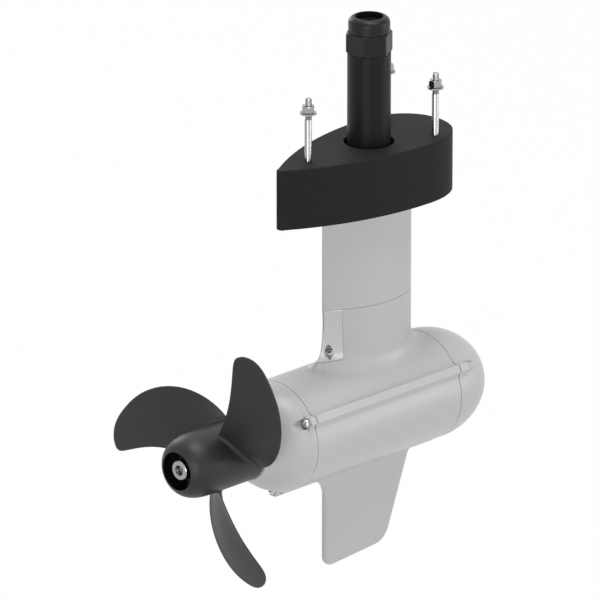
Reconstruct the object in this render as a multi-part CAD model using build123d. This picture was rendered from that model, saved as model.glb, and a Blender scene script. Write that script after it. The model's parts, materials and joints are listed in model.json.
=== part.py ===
from build123d import *
from math import asin, cos, pi, radians, sin, sqrt
import os

# Electric pod drive for a boat: a direct drive motor in a torpedo-shaped pod, hung under the hull
# on a column of foil section. Millimetres, +X forward, +Z up, port is +Y. The origin is on the
# hull tube's axis at the top face of the hull block, the plane that bears against the hull.

# Hull block
BLOCK_HEIGHT = 69.0
BLOCK_NOSE_X = 108.4
BLOCK_TAIL_X = -140.0
BLOCK_WIDEST_X = 40.0
BLOCK_HALF_WIDTH = 55.3
BLOCK_SHOULDER_X = 94.8
BLOCK_SHOULDER_Y = 35.6
BLOCK_TAIL_RADIUS = 5.0
BLOCK_TUBE_CLEARANCE = 4.0
BLOCK_EDGE = 1.0

# Hull tube and cable gland
TUBE_RADIUS = 24.0
TUBE_WALL = 5.0
TUBE_TOP_Z = 103.0
TUBE_SOCKET_DEPTH = 30.0
TUBE_FIT = 0.05
GLAND_CORNER_RADIUS = 26.0
GLAND_ACROSS_FLATS = 46.0
GLAND_HEX_HEIGHT = 24.0
GLAND_HEX_TURN = 29.0
GLAND_CHAMFER = 2.0
GLAND_SPIGOT_LENGTH = 18.0
GLAND_NECK_HEIGHT = 10.0
CAP_NUT_RADIUS = 23.0
CAP_NUT_HEIGHT = 17.0
CAP_NUT_EDGE = 0.6
CAP_NUT_SHOULDER = 7.0
CAP_NUT_WALL = 3.0
CAP_NUT_OPENING = 15.5
GLAND_SEAL_RADIUS = 17.0
CABLE_RADIUS = 9.0

# Hull studs, with their nuts and washers
STUD_RADIUS = 4.0
STUD_TOP_Z = 71.8
STUD_FRONT_X = 65.6
STUD_FRONT_Y = 37.2
STUD_REAR_X = -93.6
STUD_HOLE_CLEARANCE = 0.5
STUD_SEAT = 2.0
THREAD_GAP = 0.05
WASHER_Z = 54.3
WASHER_RADIUS = 9.2
WASHER_THICKNESS = 1.6
NUT_ACROSS_FLATS = 13.0
NUT_HEIGHT = 8.0
NUT_TURNS = (5.0, 33.0, -15.0)

# Column between the block and the pod
COLUMN_LENGTH = 111.8
COLUMN_NOSE_X = 58.0
COLUMN_TAIL_X = -71.3
COLUMN_WIDEST_X = 5.2
COLUMN_HALF_WIDTH = 28.2
COLUMN_TAIL_RADIUS = 2.0
COLUMN_TAIL_ANGLE = 27.0
FLANGE_THICKNESS = 14.0
FLANGE_INSET = 7.0
FLANGE_CLEARANCE = 0.3
CABLE_WAY_RADIUS = 12.0
COLUMN_BOLT_XS = (37.0, -38.0)
COLUMN_BOLT_RADIUS = 4.0
COLUMN_BOLT_BITE = 24.0
COLUMN_BOLT_HEAD_RADIUS = 6.5
COLUMN_BOLT_HEAD_HEIGHT = 8.0
COLUMN_BOLT_CLEARANCE = 0.3
CABLE_WAY_RING_RADIUS = 16.0
RING_CORD_RADIUS = 1.5

# Pod barrel, one casting with the foot of the column, the bolt ribs and the fin
POD_DROP = 126.6
SEAM_EDGE = 0.5
POD_RADIUS = 62.25
POD_BORE_RADIUS = 56.0
FOOT_DEPTH_SHARE = 0.75
BARREL_REAR_X = -139.5
BARREL_FRONT_X = 84.0
ROOT_FILLET = 24.0
TAIL_SWEEP_START = 30.0
TAIL_SWEEP_KNEE = 50.0
TAIL_SWEEP_KNEE_SHIFT = 3.0
TAIL_SWEEP_SLOPE = 0.3
RIB_HEIGHT = 6.95
RIB_TOP_WIDTH = 8.8
RIB_BASE_WIDTH = 20.6
RIB_ANGLES = (30.0, 150.0, 270.0)

# Fin under the barrel
FIN_THICKNESS = 8.0
FIN_TIP_DROP = 176.2
FIN_TAIL_X = -69.9
FIN_NOSE_TOP_X = 61.6
FIN_NOSE_TIP_X = 24.2
FIN_TIP_RISE = 7.0
FIN_REAR_CORNER = 11.0
FIN_FRONT_CORNER = 24.0
FIN_EDGE_RADIUS = 3.0
FIN_ROOT_REAR = 20.0
FIN_ROOT_FRONT = 9.0

# Anode let into the tail edge of the column's foot
ANODE_FRONT_X = -52.0
ANODE_RISE = 7.35
ANODE_CORNER = 5.0
ANODE_GAP = 0.35
ANODE_SCREW_X = -67.0
ANODE_SCREW_Y = -6.5
ANODE_SCREW_RISE = 7.5
ANODE_SCREW_LEAN = 12.0
ANODE_SCREW_RADIUS = 2.5
ANODE_SCREW_HEAD_RADIUS = 4.5
ANODE_SCREW_HEAD_HEIGHT = 3.0
ANODE_SCREW_POCKET_GAP = 0.6
ANODE_SCREW_LENGTH = 14.0

# End caps and their screws
NOSE_LENGTH = 77.0
NOSE_STRAIGHT = 2.0
TAIL_LENGTH = 53.5
TAIL_END_RADIUS = 37.0
TAIL_END_ANGLE = 29.0
SPIGOT_LENGTH = 10.0
SPIGOT_CLEARANCE = 0.1
CAP_WALL = 7.0
NOSE_RIB_LENGTH = 13.5
TAIL_RIB_LENGTH = 9.0
SCREW_CIRCLE_RADIUS = 61.5
SCREW_RADIUS = 3.0
SCREW_HEAD_RADIUS = 5.0
SCREW_HEAD_HEIGHT = 4.2
SCREW_BITE = 16.0
SCREW_POCKET_RADIUS = 6.2
SOCKET_SHARE = 0.45
SOCKET_DEPTH = 2.0
CAP_HEAD_ROUND = 0.15
BUTTON_HEAD_ROUND = 0.8
SCREW_HOLE_CLEARANCE = 0.3

# Motor inside the barrel
STATOR_REAR_X = -105.0
STATOR_LENGTH = 75.0
STATOR_INNER_RADIUS = 35.0
STATOR_SLOTS = 12
STATOR_BACK = 7.0
TOOTH_WIDTH = 8.0
TOOTH_TIP = 2.5
SLOT_MOUTH = 3.0
COIL_OVERHANG = 12.0
COIL_CLEARANCE = 0.4
AIR_GAP = 1.0
MAGNET_THICKNESS = 4.0
MAGNET_COUNT = 10
MAGNET_ARC = 30.0
SHAFT_ROTOR_RADIUS = 15.0
COIL_TO_BULKHEAD = 2.0
BULKHEAD_THICKNESS = 10.0
BULKHEAD_COLLAR_WALL = 6.0
BEARING_LIP = 3.0
BOARD_STANDOFF = 40.0
BOARD_THICKNESS = 2.0
BOARD_RADIUS = 50.0
POST_RADIUS = 4.0
POST_CIRCLE_RADIUS = 42.0
POST_COUNT = 4
SWITCH_COUNT = 6
SWITCH_HEIGHT = 5.0
SWITCH_WIDTH = 12.0
SWITCH_LENGTH = 16.0
CAPACITOR_COUNT = 3
CAPACITOR_RADIUS = 9.0
CAPACITOR_LENGTH = 30.0
CAPACITOR_CIRCLE = 28.0

# Shaft, bearings and seals
BEARING_BORE_RADIUS = 12.5
BEARING_OUTER_RADIUS = 26.0
BEARING_WIDTH = 15.0
RUNNING_CLEARANCE = 0.03
REAR_BEARING_X = -160.0
BEARING_RACE_SHARE = 0.25
BEARING_SHIELD_RECESS = 0.8
AXIAL_PLAY = 0.1
SHAFT_CLEARANCE = 2.5
SEAL_OUTER_RADIUS = 19.0
SEAL_WIDTH = 7.0
SEAL_COUNT = 2
SHAFT_TAIL_RADIUS = 10.0
SHAFT_THREAD_RADIUS = 6.0
CIRCLIP_THICKNESS = 1.5
CIRCLIP_GROOVE = 1.5
CIRCLIP_REACH = 3.0
CIRCLIP_OPENING = 8.0

# Propeller and what holds it
HUB_GAP = 3.0
HUB_LENGTH = 98.0
HUB_RADIUS = 36.0
HUB_STRAIGHT = 62.0
HUB_REAR_RADIUS = 22.5
HUB_REAR_ANGLE = 66.0
HUB_WALL = 3.5
HUB_RIM = 1.0
HUB_RIM_ANGLE = 40.0
SLEEVE_RADIUS = 15.5
SLEEVE_REAR_INSET = 17.0
WEB_THICKNESS = 5.0
WEB_INSET_FRONT = 12.0
WEB_INSET_REAR = 20.0
BLADE_COUNT = 3
BLADE_TIP_RADIUS = 149.2
BLADE_ROOT_RADIUS = 30.0
BLADE_PITCH = 202.8
BLADE_PHASE = 37.2
BLADE_SETBACK = 30.8
BLADE_RAKE = 4.3
BLADE_HALF_WIDTHS = (20.1, 35.0, 40.7, 46.1)
BLADE_SKEWS = (0.0, 11.8, 26.1, 41.4)
BLADE_ROOT_THICKNESS = 8.0
BLADE_ROOT_FILLET = 4.5
BLADE_TIP_THICKNESS = 2.6
BLADE_EDGE_THICKNESS = 1.2
BLADE_SLAB_START = -0.04
BLADE_SLAB_END = 1.05
BLADE_SLAB_HALF = 1.2
BLADE_SURFACE_TOLERANCE = 0.02
THRUST_WASHER_THICKNESS = 1.0
SLEEVE_CLEARANCE = 0.1
DRIVE_PIN_RADIUS = 2.5
DRIVE_PIN_SETBACK = 7.0
DRIVE_PIN_INSET_END = 1.0
NUT_POCKET_DEPTH = 14.0
NUT_POCKET_RADIUS = 12.9
PROP_WASHER_THICKNESS = 2.0
PROP_NUT_ACROSS_FLATS = 19.0
PROP_NUT_HEIGHT = 10.0
SHAFT_ANODE_RADIUS = 11.1
SHAFT_ANODE_RECESS_RADIUS = 5.9
SHAFT_ANODE_RECESS_DEPTH = 10.0
SHAFT_ANODE_END_INSET = 3.2
SHAFT_ANODE_SCREW_RADIUS = 2.5
SHAFT_ANODE_SCREW_BITE = 10.0
SHAFT_ANODE_HEAD_CLEARANCE = 0.9
SHAFT_ANODE_HEAD_HEIGHT = 5.0
SHAFT_ANODE_CHAMFER = 0.8

# Places that follow from the sizes above
BLOCK_BOTTOM_Z = -BLOCK_HEIGHT
FLANGE_TOP_Z = BLOCK_BOTTOM_Z + FLANGE_THICKNESS
SEAM_Z = BLOCK_BOTTOM_Z - COLUMN_LENGTH
POD_Z = SEAM_Z - POD_DROP
TUBE_BOTTOM_Z = BLOCK_BOTTOM_Z - TUBE_SOCKET_DEPTH
TUBE_BORE = TUBE_RADIUS - TUBE_WALL
GLAND_TOP_Z = TUBE_TOP_Z + GLAND_HEX_HEIGHT
NECK_RADIUS = CAP_NUT_RADIUS - CAP_NUT_WALL
STUD_PLACES = ((STUD_FRONT_X, STUD_FRONT_Y), (STUD_FRONT_X, -STUD_FRONT_Y), (STUD_REAR_X, 0.0))
BARREL_LENGTH = BARREL_FRONT_X - BARREL_REAR_X
RIB_TOP_RADIUS = POD_RADIUS + RIB_HEIGHT
ANODE_HEIGHT = POD_DROP - POD_RADIUS - ANODE_RISE
ANODE_SCREW_DROP = ANODE_HEIGHT - ANODE_SCREW_RISE
TAIL_END_X = BARREL_REAR_X - TAIL_LENGTH
REAR_BEARING_FRONT_X = REAR_BEARING_X + BEARING_WIDTH
CIRCLIP_X = TAIL_END_X + CIRCLIP_THICKNESS
SEAL_REAR_X = CIRCLIP_X + CIRCLIP_THICKNESS
SEAL_FRONT_X = SEAL_REAR_X + SEAL_COUNT * SEAL_WIDTH
ROTOR_RADIUS = STATOR_INNER_RADIUS - AIR_GAP
ROTOR_CORE_RADIUS = ROTOR_RADIUS - MAGNET_THICKNESS
BULKHEAD_REAR_X = STATOR_REAR_X + STATOR_LENGTH + COIL_OVERHANG + COIL_TO_BULKHEAD
BULKHEAD_FRONT_X = BULKHEAD_REAR_X + BULKHEAD_THICKNESS
BOARD_X = BULKHEAD_FRONT_X + BOARD_STANDOFF
HUB_FRONT_X = TAIL_END_X - HUB_GAP
HUB_REAR_X = HUB_FRONT_X - HUB_LENGTH
SLEEVE_FRONT_X = HUB_FRONT_X - THRUST_WASHER_THICKNESS
SLEEVE_REAR_X = HUB_REAR_X + SLEEVE_REAR_INSET
DRIVE_PIN_X = HUB_FRONT_X - DRIVE_PIN_SETBACK
NUT_SEAT_X = SLEEVE_REAR_X + NUT_POCKET_DEPTH
NUT_FRONT_X = NUT_SEAT_X - PROP_WASHER_THICKNESS
NUT_REAR_X = NUT_FRONT_X - PROP_NUT_HEIGHT
SHAFT_ANODE_END_X = HUB_REAR_X + SHAFT_ANODE_END_INSET


def along_x(x, radius, length, y=0.0, z=POD_Z):
    """A round bar from x forward by its length, its axis parallel to X."""
    bar = Cylinder(radius, length, align=(Align.CENTER, Align.CENTER, Align.MIN))
    return Pos(x, y, z) * Rot(0, 90, 0) * bar


def upright(x, y, z, radius, length):
    """A round bar from z upward by its length."""
    return Pos(x, y, z) * Cylinder(radius, length, align=(Align.CENTER, Align.CENTER, Align.MIN))


def ring_along_x(x, outer, inner, length):
    """A plain ring on the pod's axis, from x forward by its length."""
    return along_x(x, outer, length) - along_x(x - 1, inner, length + 2)


def around_pod(shape, angle):
    """The shape turned about the pod's axis by an angle in degrees."""
    return shape.rotate(Axis((0, 0, POD_Z), (1, 0, 0)), angle)


def spun(line):
    """The solid that a closed outline of (x, radius) makes when it turns about the pod's axis."""
    plane = Plane(origin=(0, 0, POD_Z), x_dir=(1, 0, 0), z_dir=(0, -1, 0))
    return revolve(plane * make_face(line), Axis((0, 0, POD_Z), (1, 0, 0)))


def closed(*pieces):
    """The pieces of an open outline, closed by a straight line from its end to its start."""
    run = Curve() + list(pieces)
    ends = run.wire()
    return run + Line(ends @ 1, ends @ 0)


def across_pod(x):
    """A drawing plane across the pod at x: its first direction is +Y and its second is +Z."""
    return Plane(origin=(x, 0, POD_Z), x_dir=(0, 1, 0), z_dir=(1, 0, 0))


def hex_bar(across_flats, height):
    """A hexagon bar standing on its centre."""
    return extrude(RegularPolygon(across_flats / 2, 6, major_radius=False), height)


def hex_nut(across_flats, height, bore):
    """A hexagon nut with both ends turned to a cone, standing on its centre."""
    corner = across_flats / sqrt(3)
    turned = upright(0, 0, 0, corner, height)
    turned = chamfer(turned.edges().filter_by(GeomType.CIRCLE), corner - across_flats / 2)
    return (hex_bar(across_flats, height) & turned) - upright(0, 0, -1, bore, height + 2)


def socket_screw(radius, length, head_radius, head_height, rounding):
    """A socket head screw along Z: its head's underside at zero, the shank below."""
    head = upright(0, 0, 0, head_radius, head_height)
    head = fillet(head.edges().filter_by(GeomType.CIRCLE).sort_by(Axis.Z)[-1], head_height * rounding)
    socket = Pos(0, 0, head_height - SOCKET_DEPTH) * hex_bar(2 * head_radius * SOCKET_SHARE, SOCKET_DEPTH + 1)
    return head + upright(0, 0, -length, radius, length) - socket


def level_edges(shape, z):
    """The edges that lie in the level plane at z."""
    return shape.edges().filter_by_position(Axis.Z, z, z, inclusive=(True, True))


def group(shapes):
    """Separate solids that share one node."""
    return Compound(children=list(shapes))


def block_face(inset=0.0):
    """The teardrop outline of the hull block, or a line inside it by the inset."""
    half_width = BLOCK_HALF_WIDTH - inset
    flank_rise = BLOCK_HALF_WIDTH - BLOCK_TAIL_RADIUS
    flank_run = BLOCK_WIDEST_X - BLOCK_TAIL_X - BLOCK_TAIL_RADIUS
    flank_radius = (flank_run**2 + flank_rise**2) / (2 * flank_rise)
    inner_run = sqrt((flank_radius - inset) ** 2 - (flank_radius - flank_rise) ** 2)
    tail = (BLOCK_WIDEST_X - inner_run, BLOCK_TAIL_RADIUS)
    widest = (BLOCK_WIDEST_X, half_width)
    shoulder = (BLOCK_SHOULDER_X - inset * sqrt(0.5), BLOCK_SHOULDER_Y - inset * sqrt(0.5))
    with BuildSketch() as sketch:
        with BuildLine():
            flank = TangentArc(widest, tail, tangent=(-1, 0))
            nose = Spline(widest, shoulder, (BLOCK_NOSE_X - inset, 0), tangents=((1, 0), (0, -1)))
            far_flank = mirror(flank, about=Plane.XZ)
            mirror(nose, about=Plane.XZ)
            ThreePointArc(flank @ 1, (tail[0] - BLOCK_TAIL_RADIUS, 0), far_flank @ 1)
        make_face()
    return sketch.sketch


def flange_plate(inset):
    """The flange's plate, inside the block's outline by the inset, its foot on the block's underside."""
    return Pos(0, 0, BLOCK_BOTTOM_Z) * extrude(block_face(inset), FLANGE_THICKNESS)


def mount_block():
    """The black teardrop spacer between hull and column, hollowed below for the column's flange."""
    edge = BLOCK_EDGE
    levels = ((0, edge), (-edge, 0), (BLOCK_BOTTOM_Z + edge, 0), (BLOCK_BOTTOM_Z, edge))
    block = loft([Pos(0, 0, z) * block_face(inset) for z, inset in levels], ruled=True)
    block -= upright(0, 0, BLOCK_BOTTOM_Z - 1, TUBE_RADIUS + BLOCK_TUBE_CLEARANCE, BLOCK_HEIGHT + 2)
    block -= flange_plate(FLANGE_INSET)
    for x, y in STUD_PLACES:
        block -= upright(x, y, BLOCK_BOTTOM_Z - 1, STUD_RADIUS + STUD_HOLE_CLEARANCE, BLOCK_HEIGHT + 2)
    return block


def hull_tube():
    """The tube that passes through the hull and carries the cable down to the pod."""
    tube = upright(0, 0, TUBE_BOTTOM_Z, TUBE_RADIUS, TUBE_TOP_Z - TUBE_BOTTOM_Z)
    return tube - upright(0, 0, TUBE_BOTTOM_Z - 1, TUBE_BORE, TUBE_TOP_Z - TUBE_BOTTOM_Z + 2)


def gland_body():
    """The gland's hexagon, with a spigot down into the tube and a neck up into its cap nut."""
    turned = upright(0, 0, 0, GLAND_CORNER_RADIUS, GLAND_HEX_HEIGHT)
    turned = chamfer(turned.edges().filter_by(GeomType.CIRCLE), GLAND_CHAMFER)
    body = Rot(0, 0, GLAND_HEX_TURN) * (hex_bar(GLAND_ACROSS_FLATS, GLAND_HEX_HEIGHT) & turned)
    body += upright(0, 0, -GLAND_SPIGOT_LENGTH, TUBE_BORE - TUBE_FIT, GLAND_SPIGOT_LENGTH)
    body += upright(0, 0, GLAND_HEX_HEIGHT, NECK_RADIUS, GLAND_NECK_HEIGHT)
    body -= upright(0, 0, -GLAND_SPIGOT_LENGTH - 1, CABLE_WAY_RADIUS, GLAND_SPIGOT_LENGTH + 2)
    body -= upright(0, 0, 0, GLAND_SEAL_RADIUS, GLAND_HEX_HEIGHT + GLAND_NECK_HEIGHT + 1)
    return Pos(0, 0, TUBE_TOP_Z) * body


def gland_cap_nut():
    """The rounded nut that squeezes the gland's seal onto the cable."""
    shoulder = min(CAP_NUT_SHOULDER, CAP_NUT_RADIUS - CAP_NUT_OPENING - 0.5)
    nut = upright(0, 0, 0, CAP_NUT_RADIUS, CAP_NUT_HEIGHT)
    nut = fillet(nut.edges().filter_by(GeomType.CIRCLE).sort_by(Axis.Z)[-1], shoulder)
    nut = chamfer(nut.edges().filter_by(GeomType.CIRCLE).sort_by(Axis.Z)[0], CAP_NUT_EDGE)
    nut -= upright(0, 0, -1, NECK_RADIUS + THREAD_GAP, GLAND_NECK_HEIGHT + 1)
    nut -= upright(0, 0, -1, CAP_NUT_OPENING, CAP_NUT_HEIGHT + 2)
    return Pos(0, 0, GLAND_TOP_Z) * nut


def gland_seal():
    """The rubber sleeve inside the gland, bored for the cable."""
    length = GLAND_HEX_HEIGHT + GLAND_NECK_HEIGHT
    seal = upright(0, 0, TUBE_TOP_Z, GLAND_SEAL_RADIUS, length)
    return seal - upright(0, 0, TUBE_TOP_Z - 1, CABLE_RADIUS, length + 2)


def hull_studs():
    """The studs that pass up through the hull, screwed into the column's flange."""
    bottom = BLOCK_BOTTOM_Z + STUD_SEAT
    return group(upright(x, y, bottom, STUD_RADIUS, STUD_TOP_Z - bottom) for x, y in STUD_PLACES)


def stud_washers():
    """A plain washer under each stud's nut."""
    washer = upright(0, 0, WASHER_Z, WASHER_RADIUS, WASHER_THICKNESS)
    washer -= upright(0, 0, WASHER_Z - 1, STUD_RADIUS + THREAD_GAP, WASHER_THICKNESS + 2)
    return group(Pos(x, y, 0) * washer for x, y in STUD_PLACES)


def stud_nuts():
    """The hexagon nut on each stud."""
    nut = hex_nut(NUT_ACROSS_FLATS, NUT_HEIGHT, STUD_RADIUS + THREAD_GAP)
    seat = WASHER_Z + WASHER_THICKNESS
    return group(Pos(x, y, seat) * Rot(0, 0, turn) * nut for (x, y), turn in zip(STUD_PLACES, NUT_TURNS))


def foil_face(z, tail_shift=0.0):
    """The column's foil section at a height, its tail edge moved aft by tail_shift."""
    slope = radians(COLUMN_TAIL_ANGLE)
    tail_x = COLUMN_TAIL_X - tail_shift
    widest = (COLUMN_WIDEST_X, COLUMN_HALF_WIDTH)
    shoulder_x = COLUMN_WIDEST_X + (COLUMN_NOSE_X - COLUMN_WIDEST_X) * sqrt(0.5)
    shoulder = (shoulder_x, COLUMN_HALF_WIDTH * sqrt(0.5))
    tail = (tail_x + COLUMN_TAIL_RADIUS * (1 - sin(slope)), COLUMN_TAIL_RADIUS * cos(slope))
    with BuildSketch(Plane.XY.offset(z)) as sketch:
        with BuildLine():
            nose = Spline((COLUMN_NOSE_X, 0), shoulder, widest, tangents=((0, 1), (-1, 0)))
            flank = Spline(widest, tail, tangents=((-1, 0), (-cos(slope), -sin(slope))))
            mirror(nose, about=Plane.XZ)
            far_flank = mirror(flank, about=Plane.XZ)
            ThreePointArc(flank @ 1, (tail_x, 0), far_flank @ 1)
        make_face()
    return sketch.sketch


def column():
    """The upper part of the column: a foil section with a flange that the studs screw into."""
    foil = extrude(foil_face(SEAM_Z), COLUMN_LENGTH)
    foil = chamfer(level_edges(foil, SEAM_Z), SEAM_EDGE)
    body = foil + flange_plate(FLANGE_INSET + FLANGE_CLEARANCE)
    body -= upright(0, 0, TUBE_BOTTOM_Z, TUBE_RADIUS + TUBE_FIT, BLOCK_HEIGHT + TUBE_SOCKET_DEPTH)
    body -= upright(0, 0, SEAM_Z - 1, CABLE_WAY_RADIUS, COLUMN_LENGTH)
    for x, y in STUD_PLACES:
        body -= upright(x, y, BLOCK_BOTTOM_Z + STUD_SEAT, STUD_RADIUS + THREAD_GAP, FLANGE_THICKNESS)
    for x in COLUMN_BOLT_XS:
        head_hole = COLUMN_BOLT_HEAD_RADIUS + COLUMN_BOLT_CLEARANCE
        body -= upright(x, 0, SEAM_Z - 1, COLUMN_BOLT_RADIUS + COLUMN_BOLT_CLEARANCE, 2 * COLUMN_LENGTH)
        body -= upright(x, 0, FLANGE_TOP_Z - COLUMN_BOLT_HEAD_HEIGHT, head_hole, BLOCK_HEIGHT)
    return body


def column_bolts():
    """The long socket screws that pull the pod's foot up against the column."""
    seat = FLANGE_TOP_Z - COLUMN_BOLT_HEAD_HEIGHT
    length = seat - SEAM_Z + COLUMN_BOLT_BITE
    head_radius, head_height = COLUMN_BOLT_HEAD_RADIUS, COLUMN_BOLT_HEAD_HEIGHT
    bolt = socket_screw(COLUMN_BOLT_RADIUS, length, head_radius, head_height, CAP_HEAD_ROUND)
    return group(Pos(x, 0, seat) * bolt for x in COLUMN_BOLT_XS)


def column_seal():
    """The rubber ring round the cable way in the seam between column and pod."""
    return Pos(0, 0, SEAM_Z - RING_CORD_RADIUS) * Torus(CABLE_WAY_RING_RADIUS, RING_CORD_RADIUS)


def pod_foot():
    """The foot of the column, its tail edge swept aft where it comes down onto the barrel."""
    foot_bottom_z = POD_Z + POD_RADIUS * FOOT_DEPTH_SHARE
    below_knee = SEAM_Z - TAIL_SWEEP_KNEE - foot_bottom_z
    bottom_shift = TAIL_SWEEP_KNEE_SHIFT + below_knee * TAIL_SWEEP_SLOPE
    sections = [
        foil_face(SEAM_Z),
        foil_face(SEAM_Z - TAIL_SWEEP_START),
        foil_face(SEAM_Z - TAIL_SWEEP_KNEE, TAIL_SWEEP_KNEE_SHIFT),
        foil_face(foot_bottom_z, bottom_shift),
    ]
    foot = loft(sections)
    return chamfer(level_edges(foot, SEAM_Z), SEAM_EDGE)


def off_axis(point):
    """How far a point lies from the pod's axis."""
    return sqrt(point.Y**2 + (point.Z - POD_Z) ** 2)


def pod_body():
    """The barrel with the column's foot blended onto it, as one solid before it is hollowed."""
    barrel = along_x(BARREL_REAR_X, POD_RADIUS, BARREL_LENGTH)
    barrel = chamfer(barrel.edges().filter_by(GeomType.CIRCLE), SEAM_EDGE)
    body = barrel + pod_foot()
    root = [
        edge
        for edge in body.edges()
        if edge.geom_type != GeomType.LINE
        and all(abs(off_axis(edge @ share) - POD_RADIUS) < 0.05 for share in (0.2, 0.5, 0.8))
        and BARREL_REAR_X + 1 < (edge @ 0.5).X < BARREL_FRONT_X - 1
    ]
    return body.fillet(ROOT_FILLET, root)


def rib_face():
    """A bolt rib's section at the top of the pod: a flat with hollow flanks that run out on the barrel."""
    half_top = RIB_TOP_WIDTH / 2
    half_base = RIB_BASE_WIDTH / 2
    base_angle = asin(half_base / POD_RADIUS)
    base = (half_base, POD_RADIUS * cos(base_angle))
    root = (half_base, POD_BORE_RADIUS * cos(base_angle))
    top = (half_top, RIB_TOP_RADIUS)
    with BuildSketch() as sketch:
        with BuildLine():
            flank = TangentArc(base, top, tangent=(-cos(base_angle), sin(base_angle)))
            drop = Line(base, root)
            far_flank = mirror(flank, about=Plane.YZ)
            far_drop = mirror(drop, about=Plane.YZ)
            Line(flank @ 1, far_flank @ 1)
            Line(drop @ 1, far_drop @ 1)
        make_face()
    return sketch.sketch


def ribs(rear_x, length):
    """The bolt ribs from rear_x forward."""
    rib = extrude(across_pod(rear_x) * rib_face(), length)
    return [around_pod(rib, angle - 90) for angle in RIB_ANGLES]


def fin():
    """The fin under the barrel: a plate with rounded edges whose root flares along the lowest rib."""
    root_z = POD_Z - RIB_TOP_RADIUS
    strip_top_z = POD_Z - POD_RADIUS
    tip_z = POD_Z - FIN_TIP_DROP
    strip_rear = FIN_TAIL_X - 2 * FIN_ROOT_REAR
    strip_front = FIN_NOSE_TOP_X + 2 * FIN_ROOT_FRONT
    corners = [
        (strip_rear, strip_top_z),
        (strip_rear, root_z),
        (FIN_TAIL_X, root_z),
        (FIN_TAIL_X, tip_z),
        (FIN_NOSE_TIP_X, tip_z + FIN_TIP_RISE),
        (FIN_NOSE_TOP_X, root_z),
        (strip_front, root_z),
        (strip_front, strip_top_z),
    ]
    radii = {2: FIN_ROOT_REAR, 3: FIN_REAR_CORNER, 4: FIN_FRONT_CORNER, 5: FIN_ROOT_FRONT}
    face = make_face(Polyline(*corners, close=True))
    for index, radius in radii.items():
        vertex = face.vertices().sort_by_distance((corners[index][0], corners[index][1], 0))[0]
        face = fillet(vertex, radius)
    plane = Plane(origin=(0, -FIN_THICKNESS / 2, 0), x_dir=(1, 0, 0), z_dir=(0, -1, 0))
    plate = extrude(plane * face, -FIN_THICKNESS)
    flat_edges = [edge for edge in plate.edges() if edge.bounding_box().size.Y < 0.01]
    rims = [edge for edge in flat_edges if (edge @ 0.5).Z < root_z - 1]
    return plate.fillet(FIN_EDGE_RADIUS, rims)


def anode_region(gap):
    """The block of space that the column's anode fills, let back by the gap at its front and foot."""
    front_x = ANODE_FRONT_X + gap
    bottom_z = SEAM_Z - ANODE_HEIGHT - gap
    rear_x = COLUMN_TAIL_X - 2 * ROOT_FILLET
    corners = [(rear_x, SEAM_Z), (rear_x, bottom_z), (front_x, bottom_z), (front_x, SEAM_Z)]
    face = make_face(Polyline(*corners, close=True))
    corner = face.vertices().sort_by_distance((front_x, bottom_z, 0))[0]
    face = fillet(corner, ANODE_CORNER)
    return extrude(Plane.XZ * face, COLUMN_HALF_WIDTH + ROOT_FILLET, both=True)


def anode_screw_place():
    """Where the anode's screw sits, on the starboard side, leaning out and aft."""
    lean = ANODE_SCREW_LEAN
    return Pos(ANODE_SCREW_X, ANODE_SCREW_Y, SEAM_Z - ANODE_SCREW_DROP) * Rot(lean, -lean, 0)


def column_anode(body):
    """The zinc anode that forms the tail edge of the column's foot."""
    anode = body & anode_region(0)
    place = anode_screw_place()
    anode -= place * upright(0, 0, 0, ANODE_SCREW_HEAD_RADIUS + ANODE_SCREW_POCKET_GAP, ANODE_HEIGHT)
    return anode - place * upright(0, 0, -ANODE_HEIGHT, ANODE_SCREW_RADIUS + THREAD_GAP, ANODE_HEIGHT + 1)


def anode_screw():
    """The screw that holds the column's anode."""
    head_radius, head_height = ANODE_SCREW_HEAD_RADIUS, ANODE_SCREW_HEAD_HEIGHT
    screw = socket_screw(ANODE_SCREW_RADIUS, ANODE_SCREW_LENGTH, head_radius, head_height, CAP_HEAD_ROUND)
    return anode_screw_place() * screw


def cap_screw_holes(seat_x, radius, length):
    """Round bars at the cap screws' places, from seat_x forward by a length."""
    for angle in RIB_ANGLES:
        bar = along_x(seat_x, radius, length, y=0, z=POD_Z + SCREW_CIRCLE_RADIUS)
        yield around_pod(bar, angle - 90)


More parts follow.
